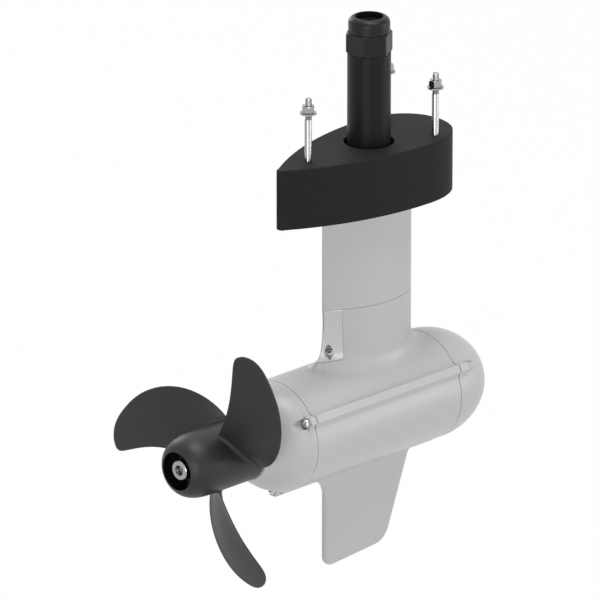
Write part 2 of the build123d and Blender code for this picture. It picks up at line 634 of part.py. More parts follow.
def pod_barrel(body):
    """The casting of barrel, column foot, ribs and fin, bored for the motor and tapped for its screws."""
    barrel = body - anode_region(ANODE_GAP)
    depth = ANODE_SCREW_LENGTH + 1
    barrel -= anode_screw_place() * upright(0, 0, -depth, ANODE_SCREW_RADIUS + THREAD_GAP, ANODE_HEIGHT)
    for rib in ribs(BARREL_REAR_X + SEAM_EDGE, BARREL_LENGTH - 2 * SEAM_EDGE):
        barrel += rib
    barrel += fin()
    barrel -= along_x(BARREL_REAR_X - 1, POD_BORE_RADIUS, BARREL_LENGTH + 2)
    barrel -= upright(0, 0, POD_Z, CABLE_WAY_RADIUS, POD_DROP + 1)
    ring_outer = CABLE_WAY_RING_RADIUS + RING_CORD_RADIUS
    ring_inner = CABLE_WAY_RING_RADIUS - RING_CORD_RADIUS
    groove = upright(0, 0, SEAM_Z - 2 * RING_CORD_RADIUS, ring_outer, POD_DROP)
    groove -= upright(0, 0, POD_Z, ring_inner, 2 * POD_DROP)
    barrel -= groove
    for x in COLUMN_BOLT_XS:
        depth = COLUMN_BOLT_BITE + 2
        barrel -= upright(x, 0, SEAM_Z - depth, COLUMN_BOLT_RADIUS + THREAD_GAP, depth + 1)
    depth = SCREW_BITE + 2
    for hole in cap_screw_holes(BARREL_REAR_X - 1, SCREW_RADIUS + THREAD_GAP, depth + 1):
        barrel -= hole
    for hole in cap_screw_holes(BARREL_FRONT_X - depth, SCREW_RADIUS + THREAD_GAP, depth + 1):
        barrel -= hole
    groove_outer = POD_BORE_RADIUS + CIRCLIP_GROOVE
    barrel -= ring_along_x(BULKHEAD_FRONT_X, groove_outer, POD_BORE_RADIUS - 1, CIRCLIP_THICKNESS)
    return barrel


def cap_ring(seam_x, forward):
    """The sealing ring in the corner between a cap's spigot and the barrel's mouth."""
    ring_radius = POD_BORE_RADIUS - SPIGOT_CLEARANCE - RING_CORD_RADIUS
    x = seam_x - forward * SPIGOT_LENGTH / 2
    return Pos(x, 0, POD_Z) * Rot(0, 90, 0) * Torus(ring_radius, RING_CORD_RADIUS)


def spigot(seam_x, forward):
    """The cap's spigot in the barrel's mouth, grooved for its sealing ring."""
    radius = POD_BORE_RADIUS - SPIGOT_CLEARANCE
    inner = radius - CAP_WALL
    start = seam_x - SPIGOT_LENGTH if forward > 0 else seam_x
    collar = ring_along_x(start, radius, inner, SPIGOT_LENGTH)
    groove_start = start + SPIGOT_LENGTH / 2 - RING_CORD_RADIUS
    cord = 2 * RING_CORD_RADIUS
    return collar - ring_along_x(groove_start, radius + 1, radius - cord, cord)


def nose_cap():
    """The domed front cap: a half ellipsoid with a spigot, hollow inside."""
    centre_x = BARREL_FRONT_X + NOSE_STRAIGHT
    tip_x = BARREL_FRONT_X + NOSE_LENGTH
    rim_x = BARREL_FRONT_X + SEAM_EDGE
    dome = EllipticalCenterArc((centre_x, 0), tip_x - centre_x, POD_RADIUS, start_angle=0, arc_size=90)
    seam = (BARREL_FRONT_X, POD_RADIUS - SEAM_EDGE)
    back = Polyline((BARREL_FRONT_X, 0), seam, (rim_x, POD_RADIUS), (centre_x, POD_RADIUS))
    cap = spun(closed(back, dome))
    for rib in ribs(rim_x, NOSE_RIB_LENGTH - SEAM_EDGE):
        cap += rib
    cap += spigot(BARREL_FRONT_X, 1)
    inner_radius = POD_BORE_RADIUS - SPIGOT_CLEARANCE - CAP_WALL
    depth = NOSE_LENGTH - CAP_WALL
    hollow = EllipticalCenterArc((BARREL_FRONT_X, 0), depth, inner_radius, start_angle=0, arc_size=90)
    cap -= spun(closed(Line((BARREL_FRONT_X, 0), (BARREL_FRONT_X, inner_radius)), hollow))
    seat_x = BARREL_FRONT_X + NOSE_RIB_LENGTH
    for hole in cap_screw_holes(BARREL_FRONT_X - 1, SCREW_RADIUS + SCREW_HOLE_CLEARANCE, NOSE_RIB_LENGTH + 2):
        cap -= hole
    for pocket in cap_screw_holes(seat_x, SCREW_POCKET_RADIUS, NOSE_LENGTH):
        cap -= pocket
    return cap


def tail_cap():
    """The tapered rear cap, with the rear bearing's seat and the shaft seals' bore."""
    slope = radians(TAIL_END_ANGLE)
    rim_x = BARREL_REAR_X - SEAM_EDGE
    back = Polyline((BARREL_REAR_X, 0), (BARREL_REAR_X, POD_RADIUS - SEAM_EDGE), (rim_x, POD_RADIUS))
    taper = Spline(
        (rim_x, POD_RADIUS),
        (TAIL_END_X, TAIL_END_RADIUS),
        tangents=((-1, 0), (-cos(slope), -sin(slope))),
    )
    end = Line((TAIL_END_X, TAIL_END_RADIUS), (TAIL_END_X, 0))
    cap = spun(closed(back, taper, end))
    for rib in ribs(BARREL_REAR_X - TAIL_RIB_LENGTH, TAIL_RIB_LENGTH - SEAM_EDGE):
        cap += rib
    cap += spigot(BARREL_REAR_X, -1)
    inner_radius = POD_BORE_RADIUS - SPIGOT_CLEARANCE - CAP_WALL
    floor_x = REAR_BEARING_FRONT_X
    floor_radius = BEARING_OUTER_RADIUS + CAP_WALL
    mouth = (BARREL_REAR_X, inner_radius)
    hollow = Polyline((BARREL_REAR_X, 0), mouth, (floor_x, floor_radius), (floor_x, 0))
    cap -= spun(closed(hollow))
    cap -= along_x(REAR_BEARING_X, BEARING_OUTER_RADIUS, BEARING_WIDTH + 1)
    cap -= along_x(TAIL_END_X - 1, BEARING_BORE_RADIUS + SHAFT_CLEARANCE, TAIL_LENGTH)
    cap -= along_x(TAIL_END_X - 1, SEAL_OUTER_RADIUS, SEAL_FRONT_X - TAIL_END_X + 1)
    cap -= along_x(CIRCLIP_X, SEAL_OUTER_RADIUS + CIRCLIP_GROOVE, CIRCLIP_THICKNESS)
    seat_x = BARREL_REAR_X - TAIL_RIB_LENGTH
    for hole in cap_screw_holes(seat_x - 1, SCREW_RADIUS + SCREW_HOLE_CLEARANCE, TAIL_RIB_LENGTH + 2):
        cap -= hole
    for pocket in cap_screw_holes(TAIL_END_X, SCREW_POCKET_RADIUS, seat_x - TAIL_END_X):
        cap -= pocket
    return cap


def cap_screws(seam_x, forward, grip):
    """The socket screws of one cap, heads outward in their pockets, their grip from seat to seam."""
    head_radius, head_height = SCREW_HEAD_RADIUS, SCREW_HEAD_HEIGHT
    screw = socket_screw(SCREW_RADIUS, grip + SCREW_BITE, head_radius, head_height, BUTTON_HEAD_ROUND)
    placed = Pos(seam_x + forward * grip, 0, POD_Z + SCREW_CIRCLE_RADIUS) * Rot(0, forward * 90, 0) * screw
    return group(around_pod(placed, angle - 90) for angle in RIB_ANGLES)


def slot_face(clearance, with_mouth):
    """One stator slot at the top of the ring, taken in by a clearance, with or without its mouth."""
    half_pitch = pi / STATOR_SLOTS
    half_tooth = TOOTH_WIDTH / 2 + clearance

    def flank(along_tooth):
        """A point on the slot's flank, parallel to the tooth's own middle line."""
        across = along_tooth * sin(half_pitch) - half_tooth * cos(half_pitch)
        up = along_tooth * cos(half_pitch) + half_tooth * sin(half_pitch)
        return across, up

    inner = flank(STATOR_INNER_RADIUS + TOOTH_TIP + clearance)
    outer = flank(POD_BORE_RADIUS - STATOR_BACK - clearance)
    right = [inner, outer]
    if with_mouth:
        right = [(SLOT_MOUTH / 2, STATOR_INNER_RADIUS - 1), (SLOT_MOUTH / 2, inner[1]), inner, outer]
    left = [(-across, up) for across, up in reversed(right)]
    return make_face(Polyline(*right, *left, close=True))


def stator_core():
    """The laminated ring of the motor's stator, slotted for its coils."""
    core = ring_along_x(STATOR_REAR_X, POD_BORE_RADIUS, STATOR_INNER_RADIUS, STATOR_LENGTH)
    slot = extrude(across_pod(STATOR_REAR_X - 1) * slot_face(0, True), STATOR_LENGTH + 2)
    for index in range(STATOR_SLOTS):
        core -= around_pod(slot, index * 360 / STATOR_SLOTS)
    return core


def stator_windings():
    """The copper coils: a bundle in each slot, joined by the end turns at both ends of the core."""
    half_pitch = pi / STATOR_SLOTS
    outer = POD_BORE_RADIUS - STATOR_BACK - COIL_CLEARANCE
    inner = STATOR_INNER_RADIUS + TOOTH_TIP + 2 * COIL_CLEARANCE
    end_turns = ring_along_x(STATOR_REAR_X - COIL_OVERHANG, outer * cos(half_pitch), inner, COIL_OVERHANG)
    coils = end_turns + Pos(STATOR_LENGTH + COIL_OVERHANG, 0, 0) * end_turns
    bundle = extrude(across_pod(STATOR_REAR_X) * slot_face(COIL_CLEARANCE, False), STATOR_LENGTH)
    for index in range(STATOR_SLOTS):
        coils += around_pod(bundle, index * 360 / STATOR_SLOTS)
    return coils


def rotor_core():
    """The steel ring on the shaft that carries the magnets."""
    return ring_along_x(STATOR_REAR_X, ROTOR_CORE_RADIUS, SHAFT_ROTOR_RADIUS, STATOR_LENGTH)


def rotor_magnets():
    """The curved magnets round the rotor."""
    ring = ring_along_x(STATOR_REAR_X, ROTOR_RADIUS, ROTOR_CORE_RADIUS, STATOR_LENGTH)
    reach = 2 * ROTOR_RADIUS
    half_arc = radians(MAGNET_ARC / 2)
    edge = (reach * sin(half_arc), reach * cos(half_arc))
    wedge_face = make_face(Polyline((0, 0), edge, (-edge[0], edge[1]), close=True))
    wedge = extrude(across_pod(STATOR_REAR_X) * wedge_face, STATOR_LENGTH)
    magnet = ring & wedge
    return group(around_pod(magnet, index * 360 / MAGNET_COUNT) for index in range(MAGNET_COUNT))


def front_bulkhead():
    """The plate across the barrel that carries the front bearing and parts the motor from its electronics."""
    plate = along_x(BULKHEAD_REAR_X, POD_BORE_RADIUS, BULKHEAD_THICKNESS)
    collar_length = BEARING_WIDTH + BEARING_LIP
    plate += along_x(BULKHEAD_REAR_X, BEARING_OUTER_RADIUS + BULKHEAD_COLLAR_WALL, collar_length)
    plate -= along_x(BULKHEAD_REAR_X - 1, BEARING_OUTER_RADIUS, BEARING_WIDTH + 1)
    plate -= along_x(BULKHEAD_REAR_X, BEARING_OUTER_RADIUS - BEARING_LIP, collar_length + 1)
    return plate


def circlip(x, bore_radius):
    """A retaining ring in its groove round a bore, open by a narrow gap at the top."""
    groove_radius = bore_radius + CIRCLIP_GROOVE
    ring = ring_along_x(x, groove_radius, bore_radius - CIRCLIP_REACH, CIRCLIP_THICKNESS)
    standing = (Align.CENTER, Align.CENTER, Align.MIN)
    gap = Box(2 * CIRCLIP_THICKNESS, CIRCLIP_OPENING, groove_radius + 1, align=standing)
    return ring - Pos(x, 0, POD_Z) * gap


def bearing(x):
    """A sealed ball bearing: its rings and the shield set back between them."""
    ring = ring_along_x(x, BEARING_OUTER_RADIUS, BEARING_BORE_RADIUS + RUNNING_CLEARANCE, BEARING_WIDTH)
    race = (BEARING_OUTER_RADIUS - BEARING_BORE_RADIUS) * BEARING_RACE_SHARE
    shield = ring_along_x(
        x - 1, BEARING_OUTER_RADIUS - race, BEARING_BORE_RADIUS + race, 1 + BEARING_SHIELD_RECESS
    )
    return ring - shield - Pos(BEARING_WIDTH + 1 - BEARING_SHIELD_RECESS, 0, 0) * shield


def shaft_seals():
    """The lip seals side by side in the tail cap, that keep water out along the shaft."""
    seal = ring_along_x(0, SEAL_OUTER_RADIUS, BEARING_BORE_RADIUS + RUNNING_CLEARANCE, SEAL_WIDTH)
    groove = ring_along_x(-1, SEAL_OUTER_RADIUS - 2, BEARING_BORE_RADIUS + 2, SEAL_WIDTH / 2 + 1)
    seal -= groove
    return group(Pos(SEAL_REAR_X + index * SEAL_WIDTH, 0, 0) * seal for index in range(SEAL_COUNT))


def board_posts():
    """The pillars that hold the motor's control board off the bulkhead."""
    length = BOARD_X - BULKHEAD_FRONT_X
    post = along_x(BULKHEAD_FRONT_X, POST_RADIUS, length, z=POD_Z + POST_CIRCLE_RADIUS)
    return group(around_pod(post, 45 + index * 360 / POST_COUNT) for index in range(POST_COUNT))


def board_screws():
    """The screws that hold the control board to its pillars."""
    head = along_x(BOARD_X + BOARD_THICKNESS, POST_RADIUS, POST_RADIUS / 2, z=POD_Z + POST_CIRCLE_RADIUS)
    return group(around_pod(head, 45 + index * 360 / POST_COUNT) for index in range(POST_COUNT))


def control_board():
    """The round circuit board that switches the motor's current."""
    return ring_along_x(BOARD_X, BOARD_RADIUS, CABLE_WAY_RADIUS, BOARD_THICKNESS)


def power_switches():
    """The flat power transistors in a ring on the board's rear face."""
    body = Box(SWITCH_HEIGHT, SWITCH_WIDTH, SWITCH_LENGTH, align=(Align.MAX, Align.CENTER, Align.CENTER))
    placed = Pos(BOARD_X, 0, POD_Z + (BOARD_RADIUS + CABLE_WAY_RADIUS) / 2) * body
    return group(around_pod(placed, index * 360 / SWITCH_COUNT) for index in range(SWITCH_COUNT))


def capacitors():
    """The tall smoothing capacitors on the board's front face."""
    can = along_x(BOARD_X + BOARD_THICKNESS, CAPACITOR_RADIUS, CAPACITOR_LENGTH, z=POD_Z + CAPACITOR_CIRCLE)
    return group(around_pod(can, index * 360 / CAPACITOR_COUNT) for index in range(CAPACITOR_COUNT))


def drive_shaft():
    """The stepped shaft from the front bearing through rotor, rear bearing and seals to the propeller."""
    front_x = BULKHEAD_REAR_X + BEARING_WIDTH
    rotor_front_x = BULKHEAD_REAR_X - AXIAL_PLAY
    rotor_rear_x = REAR_BEARING_FRONT_X + AXIAL_PLAY
    outline = Polyline(
        (front_x, 0),
        (front_x, BEARING_BORE_RADIUS),
        (rotor_front_x, BEARING_BORE_RADIUS),
        (rotor_front_x, SHAFT_ROTOR_RADIUS),
        (rotor_rear_x, SHAFT_ROTOR_RADIUS),
        (rotor_rear_x, BEARING_BORE_RADIUS),
        (HUB_FRONT_X, BEARING_BORE_RADIUS),
        (HUB_FRONT_X, SHAFT_TAIL_RADIUS),
        (NUT_SEAT_X + 1, SHAFT_TAIL_RADIUS),
        (NUT_SEAT_X + 1, SHAFT_THREAD_RADIUS),
        (NUT_REAR_X, SHAFT_THREAD_RADIUS),
        (NUT_REAR_X, 0),
    )
    shaft = spun(closed(outline))
    shaft -= upright(DRIVE_PIN_X, 0, POD_Z - SLEEVE_RADIUS, DRIVE_PIN_RADIUS, 2 * SLEEVE_RADIUS)
    shaft -= along_x(NUT_REAR_X - 1, SHAFT_ANODE_SCREW_RADIUS + THREAD_GAP, SHAFT_ANODE_SCREW_BITE + 3)
    return shaft


def drive_pin():
    """The pin across the shaft that turns the propeller and shears if a blade strikes."""
    half_length = SLEEVE_RADIUS - DRIVE_PIN_INSET_END
    return upright(DRIVE_PIN_X, 0, POD_Z - half_length, DRIVE_PIN_RADIUS, 2 * half_length)


def thrust_washer():
    """The washer through which the propeller's sleeve pushes on the shaft's shoulder."""
    inner = SHAFT_TAIL_RADIUS + SLEEVE_CLEARANCE
    return ring_along_x(SLEEVE_FRONT_X, SLEEVE_RADIUS, inner, THRUST_WASHER_THICKNESS)


def propeller_washer():
    """The washer under the propeller's nut."""
    inner = SHAFT_THREAD_RADIUS + THREAD_GAP
    return ring_along_x(NUT_FRONT_X, NUT_POCKET_RADIUS - SLEEVE_CLEARANCE, inner, PROP_WASHER_THICKNESS)


def propeller_nut():
    """The nut that holds the propeller on its shaft."""
    nut = hex_nut(PROP_NUT_ACROSS_FLATS, PROP_NUT_HEIGHT, SHAFT_THREAD_RADIUS + THREAD_GAP)
    return Pos(NUT_REAR_X, 0, POD_Z) * Rot(0, 90, 0) * nut


def shaft_anode():
    """The zinc ring on the shaft's end, with a recess for its screw."""
    anode = along_x(SHAFT_ANODE_END_X, SHAFT_ANODE_RADIUS, NUT_REAR_X - SHAFT_ANODE_END_X)
    anode = chamfer(anode.edges().filter_by(GeomType.CIRCLE).sort_by(Axis.X)[0], SHAFT_ANODE_CHAMFER)
    anode -= along_x(SHAFT_ANODE_END_X - 1, SHAFT_ANODE_RECESS_RADIUS, SHAFT_ANODE_RECESS_DEPTH + 1)
    return anode - along_x(SHAFT_ANODE_END_X, SHAFT_ANODE_SCREW_RADIUS + THREAD_GAP, HUB_LENGTH)


def shaft_anode_screw():
    """The socket screw that holds the anode on the shaft's end."""
    seat_x = SHAFT_ANODE_END_X + SHAFT_ANODE_RECESS_DEPTH
    length = NUT_REAR_X - seat_x + SHAFT_ANODE_SCREW_BITE
    head_radius = SHAFT_ANODE_RECESS_RADIUS - SHAFT_ANODE_HEAD_CLEARANCE
    screw = socket_screw(
        SHAFT_ANODE_SCREW_RADIUS, length, head_radius, SHAFT_ANODE_HEAD_HEIGHT, CAP_HEAD_ROUND
    )
    return Pos(seat_x, 0, POD_Z) * Rot(0, -90, 0) * screw


def along_blade(stations, share):
    """A value between blade root (share 0) and tip (share 1), on the cubic through four even stations."""
    total = 0.0
    places = (0.0, 1 / 3, 2 / 3, 1.0)
    for index, value in enumerate(stations):
        weight = 1.0
        for other, place in enumerate(places):
            if other != index:
                weight *= (share - place) / (places[index] - place)
        total += weight * value
    return total


def blade_point(share, across, lift=0.0):
    """A point of the blade: share runs root to tip, across runs from -1 to 1 over the chord.

    The middle surface is a screw surface of constant pitch. Lift is the distance off it.
    """
    radius = BLADE_ROOT_RADIUS + (BLADE_TIP_RADIUS - BLADE_ROOT_RADIUS) * share
    half_angle = along_blade(BLADE_HALF_WIDTHS, share) / radius
    angle = across * half_angle - radians(along_blade(BLADE_SKEWS, share))
    lead = BLADE_PITCH / (2 * pi)
    x = HUB_FRONT_X - BLADE_SETBACK + lead * angle + BLADE_RAKE * share**2
    turn = angle + radians(BLADE_PHASE)
    length = sqrt(radius**2 + lead**2)
    normal = Vector(radius / length, lead * sin(turn) / length, -lead * cos(turn) / length)
    return Vector(x, radius * cos(turn), POD_Z + radius * sin(turn)) + normal * lift


def blade_lift(share, across):
    """Half the blade's thickness: full along the middle, thin at both edges."""
    full = BLADE_ROOT_THICKNESS + (BLADE_TIP_THICKNESS - BLADE_ROOT_THICKNESS) * share
    bulge = max(0.0, 1 - across**2) ** 2
    return (BLADE_EDGE_THICKNESS + (full - BLADE_EDGE_THICKNESS) * bulge) / 2


def blade_slab():
    """A twisted slab of the blade's thickness that runs past its outline on every side."""
    shares = [BLADE_SLAB_START + index * (BLADE_SLAB_END - BLADE_SLAB_START) / 9 for index in range(10)]
    acrosses = [BLADE_SLAB_HALF * (index / 6 - 1) for index in range(13)]
    faces = []
    for side in (1, -1):
        rows = [
            [blade_point(share, across, side * blade_lift(share, across)) for across in acrosses]
            for share in shares
        ]
        faces.append(
            Face.make_surface_from_array_of_points(rows, tol=BLADE_SURFACE_TOLERANCE, min_deg=3, max_deg=5)
        )
    upper_edges, lower_edges = faces[0].edges(), faces[1].edges()
    for edge in upper_edges:
        mate = lower_edges.sort_by_distance(edge @ 0.5)[0]
        faces.append(Face.make_surface_from_curves(edge, mate))
    return Solid(Shell(faces))


def blade_outline():
    """The blade as seen along the shaft, from its root inside the hub round the tip and back."""
    shares = (0.0, 0.2, 0.4, 0.6, 0.8, 0.93)
    ahead = [(share, sqrt(1 - share**4)) for share in shares]
    behind = [(share, -across) for share, across in reversed(ahead)]
    places = [blade_point(share, across) for share, across in [*ahead, (1.0, 0.0), *behind]]
    line = Spline(*[(0, place.Y, place.Z) for place in places])
    return make_face(line + Line(line @ 1, line @ 0))


def blade():
    """One blade: the twisted slab trimmed to the blade's outline."""
    outline = Pos(HUB_REAR_X - HUB_LENGTH, 0, 0) * blade_outline()
    prism = extrude(outline, 3 * HUB_LENGTH, dir=(1, 0, 0))
    return blade_slab() & prism


def hub_profile(radius, rear_radius, rear_angle):
    """The hub's side: straight from the front, then curved in to the rear rim at its own slope."""
    slope = radians(rear_angle)
    bend_x = HUB_FRONT_X - HUB_STRAIGHT
    straight = Line((HUB_FRONT_X, radius), (bend_x, radius))
    directions = ((-1, 0), (-cos(slope), -sin(slope)))
    curve = Spline((bend_x, radius), (HUB_REAR_X, rear_radius), tangents=directions)
    front = Line((HUB_FRONT_X, 0), (HUB_FRONT_X, radius))
    return closed(front, straight, curve, Line(curve @ 1, (HUB_REAR_X, 0)))


def propeller_sleeve(hub_form):
    """The inner sleeve that sits on the shaft, with its webs, nut pocket and slot for the drive pin."""
    sleeve = along_x(SLEEVE_REAR_X, SLEEVE_RADIUS, SLEEVE_FRONT_X - SLEEVE_REAR_X)
    web_rear_x = HUB_REAR_X + WEB_INSET_REAR
    web_front_x = HUB_FRONT_X - WEB_INSET_FRONT
    middle_x = (web_rear_x + web_front_x) / 2
    web = Pos(middle_x, 0, POD_Z) * Box(
        web_front_x - web_rear_x, WEB_THICKNESS, HUB_RADIUS, align=(Align.CENTER, Align.CENTER, Align.MIN)
    )
    web = web & hub_form
    for index in range(BLADE_COUNT):
        sleeve += around_pod(web, BLADE_PHASE - 90 + index * 360 / BLADE_COUNT)
    sleeve -= along_x(SLEEVE_REAR_X - 1, SHAFT_TAIL_RADIUS + SLEEVE_CLEARANCE, HUB_LENGTH)
    sleeve -= along_x(SLEEVE_REAR_X - 1, NUT_POCKET_RADIUS, NUT_POCKET_DEPTH + 1)
    slot_depth = SLEEVE_FRONT_X - DRIVE_PIN_X + DRIVE_PIN_RADIUS + SLEEVE_CLEARANCE
    slot_width = 2 * (DRIVE_PIN_RADIUS + SLEEVE_CLEARANCE)
    slot = Pos(SLEEVE_FRONT_X + 1, 0, POD_Z) * Box(
        slot_depth + 1, slot_width, 2 * SLEEVE_RADIUS + 1, align=(Align.MAX, Align.CENTER, Align.CENTER)
    )
    return sleeve - slot


def propeller():
    """The one-piece propeller: swept blades on a hollow hub, webs and a sleeve inside it."""
    hub_form = spun(hub_profile(HUB_RADIUS, HUB_REAR_RADIUS, HUB_REAR_ANGLE))
    hollow = spun(hub_profile(HUB_RADIUS - HUB_WALL, HUB_REAR_RADIUS - HUB_RIM, HUB_RIM_ANGLE))
    one = blade()
    body = hub_form
    for index in range(BLADE_COUNT):
        body += around_pod(one, index * 360 / BLADE_COUNT)
    roots = [
        edge
        for edge in body.edges()
        if edge.bounding_box().size.X > 1
        and edge.bounding_box().size.Y > 1
        and all(abs(off_axis(edge @ share) - HUB_RADIUS) < 0.1 for share in (0.2, 0.5, 0.8))
    ]
    body = body.fillet(BLADE_ROOT_FILLET, roots)
    return body - hollow + propeller_sleeve(hub_form)


def main():
    """Build every piece and write each to its own file."""
    body = pod_body()
    pieces = {
        "mount_block": mount_block(),
        "hull_tube": hull_tube(),
        "gland_body": gland_body(),
        "gland_cap_nut": gland_cap_nut(),
        "gland_seal": gland_seal(),
        "hull_studs": hull_studs(),
        "stud_washers": stud_washers(),
        "stud_nuts": stud_nuts(),
        "column": column(),
        "column_bolts": column_bolts(),
        "column_seal": column_seal(),
        "pod_barrel": pod_barrel(body),
        "column_anode": column_anode(body),
        "anode_screw": anode_screw(),
        "nose_cap": nose_cap(),
        "nose_ring": cap_ring(BARREL_FRONT_X, 1),
        "nose_screws": cap_screws(BARREL_FRONT_X, 1, NOSE_RIB_LENGTH),
        "tail_cap": tail_cap(),
        "tail_ring": cap_ring(BARREL_REAR_X, -1),
        "tail_screws": cap_screws(BARREL_REAR_X, -1, TAIL_RIB_LENGTH),
        "stator_core": stator_core(),
        "stator_windings": stator_windings(),
        "rotor_core": rotor_core(),
        "rotor_magnets": rotor_magnets(),
        "front_bulkhead": front_bulkhead(),
        "bulkhead_circlip": circlip(BULKHEAD_FRONT_X, POD_BORE_RADIUS),
        "front_bearing": bearing(BULKHEAD_REAR_X),
        "rear_bearing": bearing(REAR_BEARING_X),
        "shaft_seals": shaft_seals(),
        "seal_circlip": circlip(CIRCLIP_X, SEAL_OUTER_RADIUS),
        "board_posts": board_posts(),
        "board_screws": board_screws(),
        "control_board": control_board(),
        "power_switches": power_switches(),
        "capacitors": capacitors(),
        "drive_shaft": drive_shaft(),
        "drive_pin": drive_pin(),
        "thrust_washer": thrust_washer(),
        "propeller": propeller(),
        "propeller_washer": propeller_washer(),
        "propeller_nut": propeller_nut(),
        "shaft_anode": shaft_anode(),
        "shaft_anode_screw": shaft_anode_screw(),
    }
    os.makedirs("parts", exist_ok=True)
    for name, shape in pieces.items():
        export_step(shape, f"parts/{name}.step")


main()
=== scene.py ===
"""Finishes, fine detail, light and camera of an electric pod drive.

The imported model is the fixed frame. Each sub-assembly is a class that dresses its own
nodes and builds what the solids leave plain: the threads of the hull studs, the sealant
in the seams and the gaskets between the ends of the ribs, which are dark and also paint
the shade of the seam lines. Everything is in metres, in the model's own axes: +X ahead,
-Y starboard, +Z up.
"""

import json
import logging
import math
from dataclasses import dataclass
from enum import Enum
from typing import Iterable

import bmesh
import bpy
from mathutils import Matrix, Vector


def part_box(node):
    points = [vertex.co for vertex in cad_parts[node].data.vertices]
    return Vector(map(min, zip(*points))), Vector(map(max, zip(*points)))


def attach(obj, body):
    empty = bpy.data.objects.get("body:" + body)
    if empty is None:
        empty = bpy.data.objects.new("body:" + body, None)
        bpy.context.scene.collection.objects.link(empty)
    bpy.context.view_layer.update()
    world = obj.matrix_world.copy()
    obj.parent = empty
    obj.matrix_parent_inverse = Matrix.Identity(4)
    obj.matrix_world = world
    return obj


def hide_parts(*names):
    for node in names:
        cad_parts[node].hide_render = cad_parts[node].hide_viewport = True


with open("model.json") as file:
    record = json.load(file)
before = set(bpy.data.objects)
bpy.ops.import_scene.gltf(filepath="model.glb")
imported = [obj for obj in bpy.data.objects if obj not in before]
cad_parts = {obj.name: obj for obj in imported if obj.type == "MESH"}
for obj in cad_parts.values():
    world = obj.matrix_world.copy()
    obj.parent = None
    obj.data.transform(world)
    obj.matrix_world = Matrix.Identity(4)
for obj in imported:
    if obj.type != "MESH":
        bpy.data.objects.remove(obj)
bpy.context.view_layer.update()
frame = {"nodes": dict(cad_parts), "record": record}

LOG = logging.getLogger("pod_drive")
MM_PER_METRE = 1000

# Corners closer than the first are one corner. A face within the second of a level lies on it.
SAME_PLACE = 0.000002
SAME_LEVEL = 0.00002

# Octaves of noise in the tint of a finish and in its relief.
TINT_DETAIL = 4.0
RELIEF_DETAIL = 2.0

# Radians that a Wave Texture at a scale of 1 turns through in a metre.
WAVE_RATE = 20.0

Colour = tuple[float, float, float]
Point = tuple[float, float, float]
WHITE = (1.0, 1.0, 1.0)


class Axis(Enum):
    """An axis of the model, as its place in a vector."""

    X = 0
    Y = 1
    Z = 2


class Body(Enum):
    """The two bodies that pieces ride on."""

    HOUSING = "housing"
    ROTOR = "rotor"


class Grain(Enum):
    """The way that tool marks run, as the factor that packs the noise along X, Y and Z."""

    EVEN = (1.0, 1.0, 1.0)
    ALONG_Z = (1.0, 1.0, 0.04)
    ROUND_X = (1.0, 0.05, 0.05)


class Value:
    """A shader value, which Python's operators turn into Math nodes."""

    def __init__(self, nodes: "Nodes", socket: bpy.types.NodeSocket) -> None:
        """Wraps an output socket.

        Args:
            nodes: The tree that the socket belongs to.
            socket: The output socket that carries the value.
        """
        self.nodes = nodes
        self.socket = socket

    def _math(self, operation: str, *terms: "Value | float", clamp: bool = False) -> "Value":
        """Adds a Math node.

        Args:
            operation: Name of the Math node's operation.
            terms: The node's inputs in order.
            clamp: Whether the result is kept between 0 and 1.

        Returns:
            The node's result.
        """
        settings = {"operation": operation, "use_clamp": clamp}
        return self.nodes.node("ShaderNodeMath", settings, dict(enumerate(terms)))

    def __add__(self, other: "Value | float") -> "Value":
        """Sum."""
        return self._math("ADD", self, other)

    def __radd__(self, other: float) -> "Value":
        """Sum with a number on the left."""
        return self._math("ADD", other, self)

    def __sub__(self, other: "Value | float") -> "Value":
        """Difference."""
        return self._math("SUBTRACT", self, other)

    def __rsub__(self, other: float) -> "Value":
        """Difference from a number on the left."""
        return self._math("SUBTRACT", other, self)

    def __mul__(self, other: "Value | float") -> "Value":
        """Product."""
        return self._math("MULTIPLY", self, other)

    def __rmul__(self, other: float) -> "Value":
        """Product with a number on the left."""
        return self._math("MULTIPLY", other, self)

    def limited(self) -> "Value":
        """The value kept between 0 and 1."""
        return self._math("ADD", self, 0.0, clamp=True)


